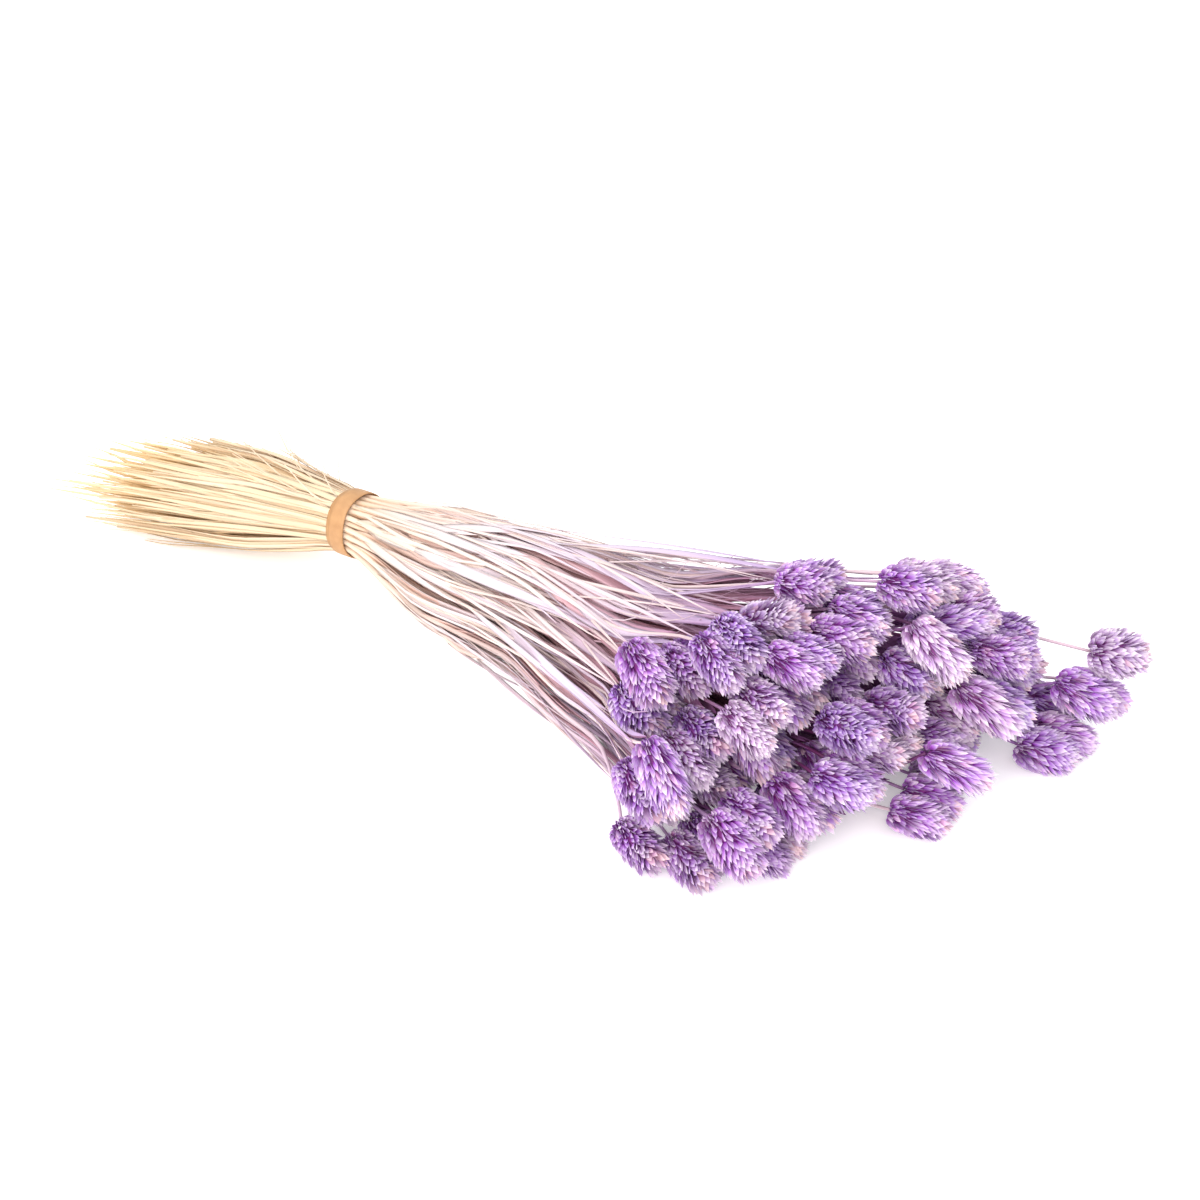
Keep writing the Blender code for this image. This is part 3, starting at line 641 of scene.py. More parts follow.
def straw_material(name, roughness, surface, streak):
    """Straw that changes colour along the bunch. streak is how dark its fibres get."""
    material, tree, shader = new_material(name, roughness, 0.35)
    spot = add_node(tree, "ShaderNodeTexCoord")
    split = add_node(tree, "ShaderNodeSeparateXYZ", {0: spot.outputs["Object"]})
    along = fit(tree, split.outputs["X"], *BUNCH_ENDS, 0.0, 1.0)
    tint, depth, wear_and_shade, _ = read_notes(tree)
    # Painted shade: deep in the bunch the colour turns to that of the shaded gaps
    colour = mix(tree, depth, ramp(tree, along, surface), ramp(tree, along, STRAW_PAINTED_SHADE))
    creamy = combine(tree, "MULTIPLY", fit(tree, tint, 0.45, 0.85, 0.0, 0.75),
                     fit(tree, depth, 0.0, 0.6, 1.0, 0.0))
    colour = mix(tree, creamy, colour, ramp(tree, along, STRAW_CREAM))
    # Wear and painted shade: worn places and the leaves that fill shaded gaps take the worn colour
    colour = mix(tree, wear_and_shade, colour, ramp(tree, along, STRAW_WORN_AND_SHADE))
    grain = add_node(tree, "ShaderNodeAttribute", attribute_name="grain")
    stretch = add_node(tree, "ShaderNodeMapping",
                       {"Scale": FIBRES, "Vector": grain.outputs["Vector"]})
    fibre = add_node(tree, "ShaderNodeTexNoise", {
        "Scale": 1.0, "Detail": 3.0, "Vector": stretch.outputs["Vector"]}).outputs["Fac"]
    bright = add_node(tree, "ShaderNodeHueSaturation", {
        "Value": fit(tree, fibre, 0.35, 0.68, 1.0 - streak, 1.0 + 0.35 * streak),
        "Color": colour})
    tree.links.new(bright.outputs["Color"], shader.inputs["Base Color"])
    roughen(tree, shader, fibre, 0.35, 0.0004)
    return material


stem_material = straw_material("dried stem", 0.5, STRAW_SURFACE, 0.16)
leaf_material = straw_material("papery leaf", 0.62, LEAF_SURFACE, 0.2)
print("materials:", stem_material.name, "and", leaf_material.name)

# %% [markdown]
# ## The stems
#
# A stem is round, a little thicker at its joints, and never quite straight. Its path goes from
# the cut end through the band to the foot of its head. Dried stems are crooked, so where nothing
# holds a stem it runs straight between a few kinks that push it aside, and all corners are
# rounded. The cut end is open: the sweep starts inside the straw, comes out to the cut, turns
# over its rim and runs back.

# %% A stem's path
PATH_STEP = 0.003
ROUNDING = 2.0
ROUNDING_REACH = 9
STAGGER = 0.00095
FINE_RADIUS_BAND = 0.00142
FINE_RADIUS_FOOT = 0.00145
FINE_RADIUS_CUT = 0.0006
TAPER = 0.060
FINE_RADIUS_TOP = 0.00075
WANDER_Y = 0.0092
WANDER_Z = 0.0038
WANDER_BEHIND = 0.0022
WANDER_FADE = 0.08
KINK_EVERY = (0.036, 0.090)
LAST_RUN = 0.05
# Near the band a stem's middle keeps this far from its wall
BAND_ROOM = FINE_RADIUS_BAND + 0.0002
BAND_HOLD = 0.008
BAND_TO_KINKS = 0.012
LOWEST_PATH_Z = 0.0009


def hold_in_band(y, z, room):
    """Keep a place in the band's disc at least room from the band."""
    out = math.hypot(y - BAND_Y, z - BAND_Z)
    most = BAND_INNER_RADIUS - room
    if out <= most:
        return y, z
    return BAND_Y + (y - BAND_Y) * most / out, BAND_Z + (z - BAND_Z) * most / out


def wander(xs, held, free, size, draw):
    """Sideways offsets in straight runs between kinks, from zero at held to free.

    At the foot of a head, in front of the band, the last offset is zero too.
    """
    kinks = [held]
    step = math.copysign(1.0, free - held)
    while abs(kinks[-1] - held) < abs(free - held) - LAST_RUN:
        kinks.append(kinks[-1] + step * draw.uniform(*KINK_EVERY))
    offsets = [0.0] + [draw.uniform(-size, size) for _ in kinks[1:]] + [0.0]
    kinks.append(free)
    if step < 0.0:
        offsets[-1] = draw.uniform(-size, size)
        kinks, offsets = kinks[::-1], offsets[::-1]
    return np.interp(xs, kinks, offsets)


def behind_band(stalk, nudge):
    """Where a stalk's middle lies at its cut end and at BRUSH_X."""
    band_y, band_z = band_place(stalk)
    out_y, out_z = band_y - BAND_Y, band_z + nudge - BAND_Z
    cut, brush = (Vector((x, y + out_y * wide, z + out_z * tall))
                  for x, y, z, wide, tall in BRUSH[:2])
    cut = brush + (cut - brush) * ((BRUSH_X - stalk["cut_x"]) / (BRUSH_X - CUT_X))
    cut.z = max(cut.z, FINE_RADIUS_CUT)
    return cut, brush


def stem_path(index, draw):
    """Places along a stem's middle, PATH_STEP apart, as rows of x, y and z."""
    stalk = stalks[index]
    band_y, band_z = band_place(stalk)
    nudge = STAGGER if index % 2 else -STAGGER
    held = hold_in_band(band_y, band_z + nudge, BAND_ROOM)
    base = lines[index][0]
    marks = [tuple(mark) for mark in behind_band(stalk, nudge)]
    marks += [(BAND_X + stretch, *held) for stretch in (-BAND_HALF_STRETCH, BAND_HALF_STRETCH)]
    marks += [(x, *rule_path(stalk, x)) for x, *_ in FLARE if x < PLANE_START]
    marks += [(x, *place[index, plane]) for plane, x in enumerate(planes)
              if x < stalk["base_x"] - NECK]
    marks.append(tuple(base))
    marks = np.array(marks)
    count = int((marks[-1, 0] - marks[0, 0]) / PATH_STEP)
    xs = np.linspace(marks[0, 0], marks[-1, 0], count)
    path = np.stack([xs, *look_up(marks, xs)], axis=1)
    for column, size in ((1, WANDER_Y), (2, WANDER_Z)):
        fan = wander(xs, BAND_X + BAND_TO_KINKS, base.x - 0.02, size, draw)
        path[:, column] += fan * np.clip((base.x - xs) / WANDER_FADE, 0.0, 1.0)
        path[:, column] += wander(xs, BAND_X - BAND_TO_KINKS, xs[0] - 0.01,
                                  WANDER_BEHIND * size / WANDER_Y, draw)
    reach = np.arange(-ROUNDING_REACH, ROUNDING_REACH + 1)
    kernel = np.exp(-0.5 * (reach / ROUNDING) ** 2)
    kernel /= kernel.sum()
    for column in (1, 2):
        line = np.interp(xs, (xs[0], xs[-1]), (path[0, column], path[-1, column]))
        padded = np.pad(path[:, column] - line, ROUNDING_REACH, mode="reflect",
                        reflect_type="odd")
        path[:, column] = line + np.convolve(padded, kernel, mode="valid")
    for row in path:
        if abs(row[0] - BAND_X) < BAND_HOLD:
            row[1:] = hold_in_band(row[1], row[2], BAND_ROOM)
    path[:, 2] = np.maximum(path[:, 2], LOWEST_PATH_Z)
    return path


stem_draw = random.Random(SEED + 20)
paths = [stem_path(index, stem_draw) for index in range(len(stalks))]
print("longest stem mm:", round(1000 * max(np.linalg.norm(np.diff(p, axis=0), axis=1).sum()
                                          for p in paths)))

# %% How deep a place lies in the bunch, which sets its painted shade
BAND_TO_FAN = 0.06
DEPTH_MARGIN = 0.004
# Depth starts at the first share of the way out to the surface and is full that much further in
DEPTH_STARTS = 0.96
DEPTH_FULL = 0.34


def shade_depth_at(x, y, z):
    """0 on the outside of the bunch and 1 well inside it."""
    if x < BAND_X:
        middle_y, middle_z, wide, tall = look_up(BRUSH, x)
        half_y, half_z = wide * BAND_INNER_RADIUS, tall * BAND_INNER_RADIUS
    else:
        share, low_z, high_z = look_up(FLARE, x)
        half_y = HEADS_HALF_WIDTH * share
        half_z = 0.5 * (high_z - low_z) + DEPTH_MARGIN
        middle_y, middle_z = look_up(MIDDLE_LINE, x)[0], 0.5 * (high_z + low_z)
        mixing = min(max((x - BAND_X) / BAND_TO_FAN, 0.0), 1.0)
        half_y = BAND_INNER_RADIUS + (half_y - BAND_INNER_RADIUS) * mixing
        half_z = BAND_INNER_RADIUS + (half_z - BAND_INNER_RADIUS) * mixing
        middle_z = BAND_Z + (middle_z - BAND_Z) * mixing
    out = math.hypot((y - middle_y) / half_y, (z - middle_z) / half_z)
    return min(max((DEPTH_STARTS - out) / DEPTH_FULL, 0.0), 1.0)


def note_shade_depth(bm):
    """Write into every point's tone how deep it lies, which sets its painted shade."""
    tones = bm.verts.layers.float_color["tone"]
    for vert in bm.verts:
        note = vert[tones]
        note[1] = shade_depth_at(*vert.co)
        vert[tones] = note


# %% Make the stems
STEM_SIDES = 8
STEM_EVERY = 3
FIRST_JOINT = (-0.30, -0.24)
JOINT_EVERY = (0.10, 0.15)
JOINT_BELOW_HEAD = 0.10
SHEATH = (0.05, 0.09)
SHEATH_THICKNESS = 0.00022
JOINT_THICKNESS = 0.00032
JOINT_HALF_LENGTH = 0.0025
JOINT_STAIN = (0.35, 0.004)
HOLE = 0.58
RIM = 0.75


def frame_along(path, number):
    """The direction of a path at a row, and two directions across it."""
    before = path[max(number - 1, 0)]
    after = path[min(number + 1, len(path) - 1)]
    ahead = Vector(after - before).normalized()
    side = ahead.cross(Vector((0.0, 0.0, 1.0))).normalized()
    return ahead, side, side.cross(ahead)


def stem_radius(x, stalk, joints):
    """A stem's radius at x. It swells at each joint, and a sheath thickens it past one."""
    radius = np.interp(x, (stalk["cut_x"], stalk["cut_x"] + TAPER, BAND_X, stalk["base_x"]),
                       (FINE_RADIUS_CUT, FINE_RADIUS_FOOT, FINE_RADIUS_BAND, FINE_RADIUS_TOP))
    for joint, sheath in joints:
        radius += JOINT_THICKNESS * math.exp(-((x - joint) / JOINT_HALF_LENGTH) ** 2)
        if joint < x < joint + sheath:
            radius += SHEATH_THICKNESS
    return radius


stem_objects = []
for layer in range(LAYERS):
    bm = start_mesh()
    for index, stalk in enumerate(stalks):
        if stalk["layer"] != layer:
            continue
        path = paths[index]
        tint = stem_draw.random()
        joint = stem_draw.uniform(*FIRST_JOINT)
        joints = []
        while joint < stalk["base_x"] - JOINT_BELOW_HEAD:
            joints.append((joint, stem_draw.uniform(*SHEATH)))
            joint += stem_draw.uniform(*JOINT_EVERY)
        offset = Vector([stem_draw.uniform(0.0, 5.0) for _ in range(3)])
        ahead, side, lift = frame_along(path, 0)
        rim = stem_radius(path[0][0], stalk, joints)
        start = Vector(path[0])
        stations = [(start + ahead * inside, side, lift, share * rim, share * rim, 0.0, wear_and_shade)
                    for inside, share, wear_and_shade in ((0.005, HOLE, 1.0), (0.0005, HOLE, 0.8),
                                               (0.0, RIM, 0.2))]
        for number in (*range(0, len(path) - 1, STEM_EVERY), len(path) - 1):
            ahead, side, lift = frame_along(path, number)
            x = path[number][0]
            radius = stem_radius(x, stalk, joints)
            stain = max((JOINT_STAIN[0] * math.exp(-((x - joint) / JOINT_STAIN[1]) ** 2)
                         for joint, _ in joints), default=0.0)
            stations.append((Vector(path[number]), side, lift, radius, radius, 0.0, stain))
        sweep(bm, stations, STEM_SIDES, tint, offset)
    note_shade_depth(bm)
    piece = finish_mesh(bm, "stems_layer_%d" % (layer + 1), stem_material)
    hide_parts("stalks_layer_%d" % (layer + 1))
    stem_objects.append(piece)
print("stem triangles:", triangles(stem_objects))

# %% [markdown]
# ## The papery leaves
#
# Most stalks still carry a leaf or two. Dried leaves are flat straps, wider than the stems, that
# start wrapped round a stem, leave it at a small angle and lie across their neighbours. Some
# tear into fine strands, some stay bunched below the heads, and behind the band they end as
# stubs, curled wisps and thin tails. They fill the bunch and break up its straight lines. Broad
# blades laid just under the fan's surface take the worn colour as painted shade of its gaps, and
# the leaves bunched below the heads are dark, partly as real leaves and partly as painted shade
# between the heads. Each is swept flat side out, with slightly raised edges and a slow twist.
# Every kind of strap is a row of ranges, and its numbers are drawn in the order in which the row
# names them.

# %% Outward from the bunch's middle line
leaf_draw = random.Random(SEED + 40)
laid = []


def outward(x, y, z):
    """The direction straight out of the bunch at a place."""
    if x < FLARE[0][0]:
        middle_y, middle_z = look_up(BRUSH, x)[0], BAND_Z
        half_y = half_z = BAND_INNER_RADIUS
    else:
        share, low_z, high_z = look_up(FLARE, x)
        middle_y, middle_z = look_up(MIDDLE_LINE, x)[0], 0.5 * (low_z + high_z)
        half_y, half_z = HEADS_HALF_WIDTH * share, 0.5 * (high_z - low_z)
    away = Vector((0.0, (y - middle_y) / half_y ** 2, (z - middle_z) / half_z ** 2))
    if away.length < 1e-6:
        away = Vector((0.0, 0.0, 1.0))
    return away.normalized()


# %% Straps
# share of the length, share of the width
BLADE = ((0.0, 0.35), (0.12, 0.85), (0.35, 1.0), (0.65, 0.85), (0.88, 0.45), (1.0, 0.05))
STRAND = ((0.0, 0.60), (0.2, 1.0), (0.7, 0.9), (1.0, 0.20))
TAIL = ((0.0, 0.80), (0.5, 1.0), (0.88, 0.70), (1.0, 0.12))
STUB = ((0.0, 0.80), (0.35, 1.0), (0.62, 0.86), (0.85, 0.45), (1.0, 0.03))
STRAP_SIDES = 6
TROUGH = (0.05, 0.24)
PAPER = 0.00015
ROUND_BELOW = 0.0026
NARROWEST = 0.0002
WORN_FROM = 0.9
STRAP_STEP = 0.009
CHORD_STEPS = 9
CHORD_ABOVE = 0.0012
LOWEST_STRAP_Z = 0.0012


def ribbon(bm, centres, outline, width, twist=0.0, tint=0.5, wear_and_shade=0.0):
    """A dried strap along centres, its flat side facing out of the bunch."""
    phase = leaf_draw.uniform(0.0, 2.0 * math.pi)
    trough = leaf_draw.uniform(*TROUGH)
    offset = Vector([leaf_draw.uniform(0.0, 5.0) for _ in range(3)])
    last = len(centres) - 1
    stations = []
    for number, centre in enumerate(centres):
        share = number / last
        ahead = (centres[min(number + 1, last)] - centres[max(number - 1, 0)]).normalized()
        out = outward(*centre)
        turn = twist * (share - 0.4) + 0.12 * math.sin(phase + 5.0 * share)
        side = ahead.cross(out).normalized() * math.cos(turn) + out * math.sin(turn)
        side = (side - ahead * side.dot(ahead)).normalized()
        lift = side.cross(ahead)
        if lift.dot(out) < 0.0:
            lift = -lift
        half = 0.5 * width * look_up(outline, share)[0]
        thick = PAPER if width > ROUND_BELOW else max(PAPER, 0.45 * half)
        strap_wear_and_shade = wear_and_shade
        if outline not in (STUB, TAIL):
            strap_wear_and_shade += 0.4 * max(0.0, share - WORN_FROM) / (1.0 - WORN_FROM)
        stations.append((centre, side, lift, max(half, NARROWEST), thick, trough, min(strap_wear_and_shade, 1.0)))
    sweep(bm, stations, STRAP_SIDES, tint, offset)
    laid.append(width)


def on_stem(index, x):
    """A place on a stem. Behind its cut end the stem's line runs straight on."""
    path = paths[index]
    spot = Vector((x, *look_up(path, x)))
    if x < path[0][0]:
        run = (path[3] - path[0]) * (x - path[0][0]) / (3.0 * PATH_STEP)
        spot += Vector((0.0, run[1], run[2]))
    return spot


def lay_strap(bm, index, start, end, outline, width, drift=0.0, lift_by=0.001, curl_up=0.0,
              **look):
    """A strap that follows a stem from x = start to x = end and drifts off it."""
    steps = max(6, int(abs(end - start) / STRAP_STEP))
    phase = leaf_draw.uniform(0.0, 2.0 * math.pi)
    centres = []
    for step in range(steps + 1):
        share = step / steps
        centre = on_stem(index, start + (end - start) * share)
        out = outward(*centre)
        tangent = Vector((1.0, 0.0, 0.0)).cross(out).normalized()
        centre += tangent * (drift * share + 0.0005 * math.sin(phase + 6.0 * share))
        centre += out * (lift_by * min(1.0, 5.0 * share) + curl_up * max(0.0, share - 0.45) ** 2)
        centre.z = max(centre.z, LOWEST_STRAP_Z)
        centres.append(centre)
    ribbon(bm, centres, outline, width, **look)


def lay_chord(bm, indices, ends, outline, width, bulge, **look):
    """A straight strap from one stem to another, with an x on each."""
    corners = []
    for index, x in zip(indices, ends):
        corner = on_stem(index, x)
        corners.append(corner + outward(*corner) * CHORD_ABOVE)
    centres = []
    for step in range(CHORD_STEPS + 1):
        centre = corners[0].lerp(corners[1], step / CHORD_STEPS)
        centres.append(centre + outward(*centre) * bulge * math.sin(math.pi * step / CHORD_STEPS))
    ribbon(bm, centres, outline, width, **look)


def pick(value):
    """Draw a number from a range. A plain number stays as it is."""
    return leaf_draw.uniform(*value) if isinstance(value, tuple) else value


def pick_all(ranges):
    """Draw every number of a row of ranges, in its order."""
    return {name: pick(value) for name, value in ranges.items()}


# %% The kinds of straps
FAN_START = BAND_X + 0.010
FAN_END = 0.092
# In the fan: how many on each stalk, outline, start past FAN_START, room up to the head, length
FAN_STRAPS = (
    (2, BLADE, 0.0, 0.07, (0.06, 0.12), {
        "width": (0.0042, 0.0072), "drift": (-0.007, 0.007), "lift_by": (-0.0005, 0.0018),
        "twist": (-0.8, 0.8), "tint": (0.0, 0.62)}),
    (2, STRAND, -0.005, 0.10, (0.09, 0.17), {
        "width": (0.0011, 0.0023), "drift": (-0.014, 0.014), "lift_by": (0.0008, 0.0030),
        "twist": (-0.5, 0.5), "tint": (0.35, 1.0)}),
    (1, BLADE, 0.02, 0.08, 0.11, {
        "width": (0.006, 0.009), "drift": (-0.006, 0.006), "lift_by": (-0.002, -0.008),
        "twist": (-1.0, 1.0), "tint": (0.0, 0.5)}),
    # Broad blades just under the surface, in the worn colour: painted shade in the gaps of the fan
    (3, BLADE, -0.002, 0.09, (0.08, 0.13), {
        "width": (0.008, 0.011), "drift": (-0.004, 0.004), "lift_by": (-0.0015, -0.0045),
        "twist": (-0.3, 0.3), "tint": 0.1, "wear_and_shade": 0.8}),
)
# From one stem to another: how many and how long in the lower and in the upper layers
UPPER_FROM = 3
CHORDS_LOWER = (3, 0.09)
CHORDS_UPPER = (5, 0.14)
NEIGHBOURS = (-3, -2, -1, 1, 2, 3)
BROAD_CHANCE = 0.3
CHORD_BROAD = {"width": (0.0035, 0.0058), "bulge": (0.0005, 0.0030), "twist": (-0.5, 0.5),
               "tint": (0.0, 0.6)}
CHORD_FINE = {**CHORD_BROAD, "width": (0.0012, 0.0024), "tint": (0.6, 1.0)}
WISP_CHANCE = 0.45
WISP = {"width": (0.0009, 0.0014), "drift": (-0.022, 0.022), "curl_up": (0.01, 0.05),
        "twist": (-2.0, 2.0), "tint": (0.6, 1.0)}
# Below the heads, where the lower layers hold more of them at the front. They are dark, in the
# worn colour: partly real leaves, partly painted shade between the heads
BELOW_FROM = 0.10
BELOW_FRONT = 0.14
BELOW = {"width": (0.006, 0.011), "drift": (-0.014, 0.014), "lift_by": (-0.004, 0.001),
         "twist": (-0.8, 0.8), "tint": 0.1, "wear_and_shade": 0.9}
# Behind the band: lowest layer, how many, outline, start past the band, end past the cut
CUT_STRAPS = (
    (0, 5, STUB, 0.006, (-0.018, 0.055), {
        "width": (0.0022, 0.0044), "drift": (-0.009, 0.009), "lift_by": (-0.0010, 0.0026),
        "twist": (-0.8, 0.8), "curl_up": (-0.010, 0.016), "tint": (0.0, 1.0)}),
    (0, 1, STUB, 0.004, 0.045, {"width": (0.006, 0.008), "lift_by": -0.0014, "tint": 0.2}),
    (5, 1, STRAND, 0.0, (0.02, 0.08), {
        "width": (0.0008, 0.0013), "drift": (-0.010, 0.010), "twist": (-0.8, 0.8),
        "curl_up": (0.02, 0.11), "tint": (0.5, 1.0)}),
)
TAIL_X = -0.3535
TAIL_LENGTH = 0.040
TAIL_LAYERS = (2, 3, 4)
TAIL_CHANCE = 0.6
TAIL_LOOK = {"width": (0.0022, 0.0032), "drift": (-0.003, 0.003), "lift_by": 0.0,
             "curl_up": (-0.02, 0.01), "tint": (0.0, 1.0)}
# Under the band no leaf comes nearer to it than this
BAND_CLEAR = 0.0001


def leaves_below(layer, stalk, foot):
    """How many leaves lie below a head whose foot is at x = foot."""
    if stalk["unit"] == "stray" or foot < BELOW_FROM:
        return 0
    if layer >= UPPER_FROM:
        return 2
    return 7 if foot > BELOW_FRONT else 4


# %% Lay the leaves
leaf_objects = []
for layer in range(LAYERS):
    bm = start_mesh()
    members = [i for i, stalk in enumerate(stalks) if stalk["layer"] == layer]
    chords, longest = CHORDS_LOWER if layer < UPPER_FROM else CHORDS_UPPER
    for index in members:
        stalk = stalks[index]
        reach = min(stalk["base_x"] - 0.004, FAN_END)
        for count, outline, past, room, length, look in FAN_STRAPS:
            for _ in range(count):
                start = leaf_draw.uniform(FAN_START + past, reach - room)
                end = min(start + pick(length), reach)
                lay_strap(bm, index, start, end, outline, **pick_all(look))
        for _ in range(chords):
            partner = index + leaf_draw.choice(NEIGHBOURS)
            partner = min(max(partner, members[0]), members[-1])
            start = leaf_draw.uniform(FAN_START - 0.004, reach - 0.09)
            end = min(start + leaf_draw.uniform(0.06, longest), reach, stalks[partner]["base_x"])
            broad = leaf_draw.random() < BROAD_CHANCE
            lay_chord(bm, (index, partner), (start, end), BLADE if broad else STRAND,
                      **pick_all(CHORD_BROAD if broad else CHORD_FINE))
        if layer >= UPPER_FROM and leaf_draw.random() < WISP_CHANCE:
            start = leaf_draw.uniform(0.0, max(reach - 0.05, 0.001))
            end = min(start + leaf_draw.uniform(0.04, 0.06), reach)
            lay_strap(bm, index, start, end, STRAND, **pick_all(WISP))
        foot = stalk["base_x"] - 0.003
        for _ in range(leaves_below(layer, stalk, foot)):
            start = foot - leaf_draw.uniform(0.04, 0.07)
            end = foot - leaf_draw.uniform(0.004, 0.024)
            lay_strap(bm, index, start, end, BLADE, **pick_all(BELOW))
        for lowest, count, outline, past, beyond, look in CUT_STRAPS:
            for _ in range(count if layer >= lowest else 0):
                end = stalk["cut_x"] + pick(beyond)
                lay_strap(bm, index, BAND_X + past, end, outline, **pick_all(look))
        if layer in TAIL_LAYERS and leaf_draw.random() < TAIL_CHANCE:
            end = max(stalk["cut_x"] - TAIL_LENGTH, TAIL_X)
            lay_strap(bm, index, BAND_X, end, TAIL, **pick_all(TAIL_LOOK))
    note_shade_depth(bm)
    for vert in bm.verts:
        if abs(vert.co.x - BAND_X) < BAND_HOLD:
            vert.co.yz = hold_in_band(vert.co.y, vert.co.z, BAND_CLEAR)
    leaf_objects.append(finish_mesh(bm, "leaves_layer_%d" % (layer + 1), leaf_material))
print("straps:", len(laid), "triangles:", triangles(leaf_objects))

# %% [markdown]
# ## One glume
#
# A canary grass head is a dense spike of flat spikelets. Each is a pair of boat-shaped papery
# scales, the glumes, with a sharp keel and a small point. One glume is a thin ring that is
# extruded to its point. It is modelled once, in its own place, and copied from there.

# %% Model a glume
# share of the length, half width and height of the keel, in millimetres
GLUME_STATIONS = ((0.00, 0.35, 0.12), (0.42, 1.40, 0.30), (0.76, 1.02, 0.20))
GLUME_BOW = 0.55
MM = 0.001


def model_glume():
    """One glume along +Z, one unit long. It is 1 mm to the unit across, and its keel is at +Y."""
    bm = start_mesh()
    corner = bm.verts.layers.int[CORNER]
    tones = bm.verts.layers.float_color["tone"]
    ring, edges = start_ring(bm, 3)
    for number, (along, half, keel) in enumerate(GLUME_STATIONS):
        if number:
            ring, edges = extrude_ring(bm, edges)
        for vert in ring:
            across = vert[corner] - 1.0
            vert.co = Vector((half * across, keel * (1.0 - abs(across)), along))
            vert[tones] = (0.0, 0.0, along, abs(across))
    end = bmesh.ops.edgeloop_fill(bm, edges=edges)["faces"]
    point = bmesh.ops.poke(bm, faces=end)["verts"][0]
    point.co = Vector((0.0, 0.0, 1.0))
    point[tones] = (0.0, 0.0, 1.0, 1.0)
    for vert in bm.verts:
        vert.co.y += GLUME_BOW * math.sin(math.pi * vert.co.z)
    bmesh.ops.recalc_face_normals(bm, faces=bm.faces)
    return to_mesh(bm, "glume")


glume = model_glume()
print("faces in a glume:", len(glume.polygons))

# %% [markdown]
# ## A head
#
# The spikelets sit on a thick core along a golden-angle spiral, which is how the plant packs
# them. Each is aimed from its root on the core to its tip on the head's egg-shaped outline, so
# the outline is met whatever the length. From the foot to past the middle the glumes stand edge
# on, with their keels outward, and lie forward over each other like shingles. Towards the tip
# they turn flat, and in some heads they open like petals. Fine bristles stand out between them.
# A few different heads are built once and then copied to all the stems.

# %% Build the head patterns
GOLDEN = math.pi * (3.0 - math.sqrt(5.0))
PATTERNS = 8
SPIKELETS = 200
HAIRS = 44
HAIR_RADIUS = 0.00007
HAIR_TONE = (0.9, 0.0, 0.9, 1.0)
# share of the spiral, root along and out, tip along and out, as shares of length and radius
SPIKELET_TABLE = (
    (0.00, 0.00, 0.18, 0.01, 0.55), (0.06, 0.00, 0.38, 0.06, 0.87), (0.20, 0.05, 0.54, 0.21, 1.05),
    (0.40, 0.18, 0.59, 0.42, 1.11), (0.60, 0.35, 0.55, 0.64, 1.06), (0.78, 0.51, 0.42, 0.85, 0.92),
    (0.90, 0.62, 0.25, 0.98, 0.75), (0.97, 0.68, 0.10, 1.04, 0.54), (1.00, 0.71, 0.03, 1.03, 0.22),
)
# How far the tips open in one pattern, the next and the third, and where along the spiral
BURSTS = (0.30, 0.14, 0.0)
OPENING = ((0.74, 0.0), (0.93, 0.8), (0.985, 0.0))
# Turned edge on up to the first share of the spiral, and flat from the second
EDGE_ON = 1.2
EDGE_ON_UNTIL = 0.45
FLAT_FROM = 0.80
OPEN_FROM = 0.72
SPLAY = (0.08, 0.22)
GLUME_SIZE = (0.76, 0.98)
DYED_FOOT = 0.42
CORE_MIDDLE = 0.39
CORE_HALF_LENGTH = 0.36
CORE_RADIUS = 0.66
CORE_TONE = (1.0, 0.2, 0.14, 0.0)


def copy_into(bm, mesh, matrix):
    """Add a mesh to a bmesh and place it. Returns the new points."""
    before = len(bm.verts)
    bm.from_mesh(mesh)
    bm.verts.ensure_lookup_table()
    fresh = bm.verts[before:]
    bmesh.ops.transform(bm, matrix=matrix, verts=fresh)
    return fresh


def spikelet_line(share, turn, draw, burst=0.0):
    """Root and tip of a spikelet. burst pushes the tips at the head's end apart."""
    root_x, root_out, tip_x, tip_out = look_up(SPIKELET_TABLE, share)
    spoke = Vector((0.0, math.cos(turn), math.sin(turn)))
    tip_out *= draw.uniform(0.955, 1.035)
    opening = burst * look_up(OPENING, share)[0]
    tip_out += opening
    tip_x -= 0.3 * opening
    tip_x += draw.uniform(-0.025, 0.025)
    return (Vector((root_x * HEAD_LENGTH, 0.0, 0.0)) + spoke * (root_out * HEAD_RADIUS),
            Vector((tip_x * HEAD_LENGTH, 0.0, 0.0)) + spoke * (tip_out * HEAD_RADIUS))


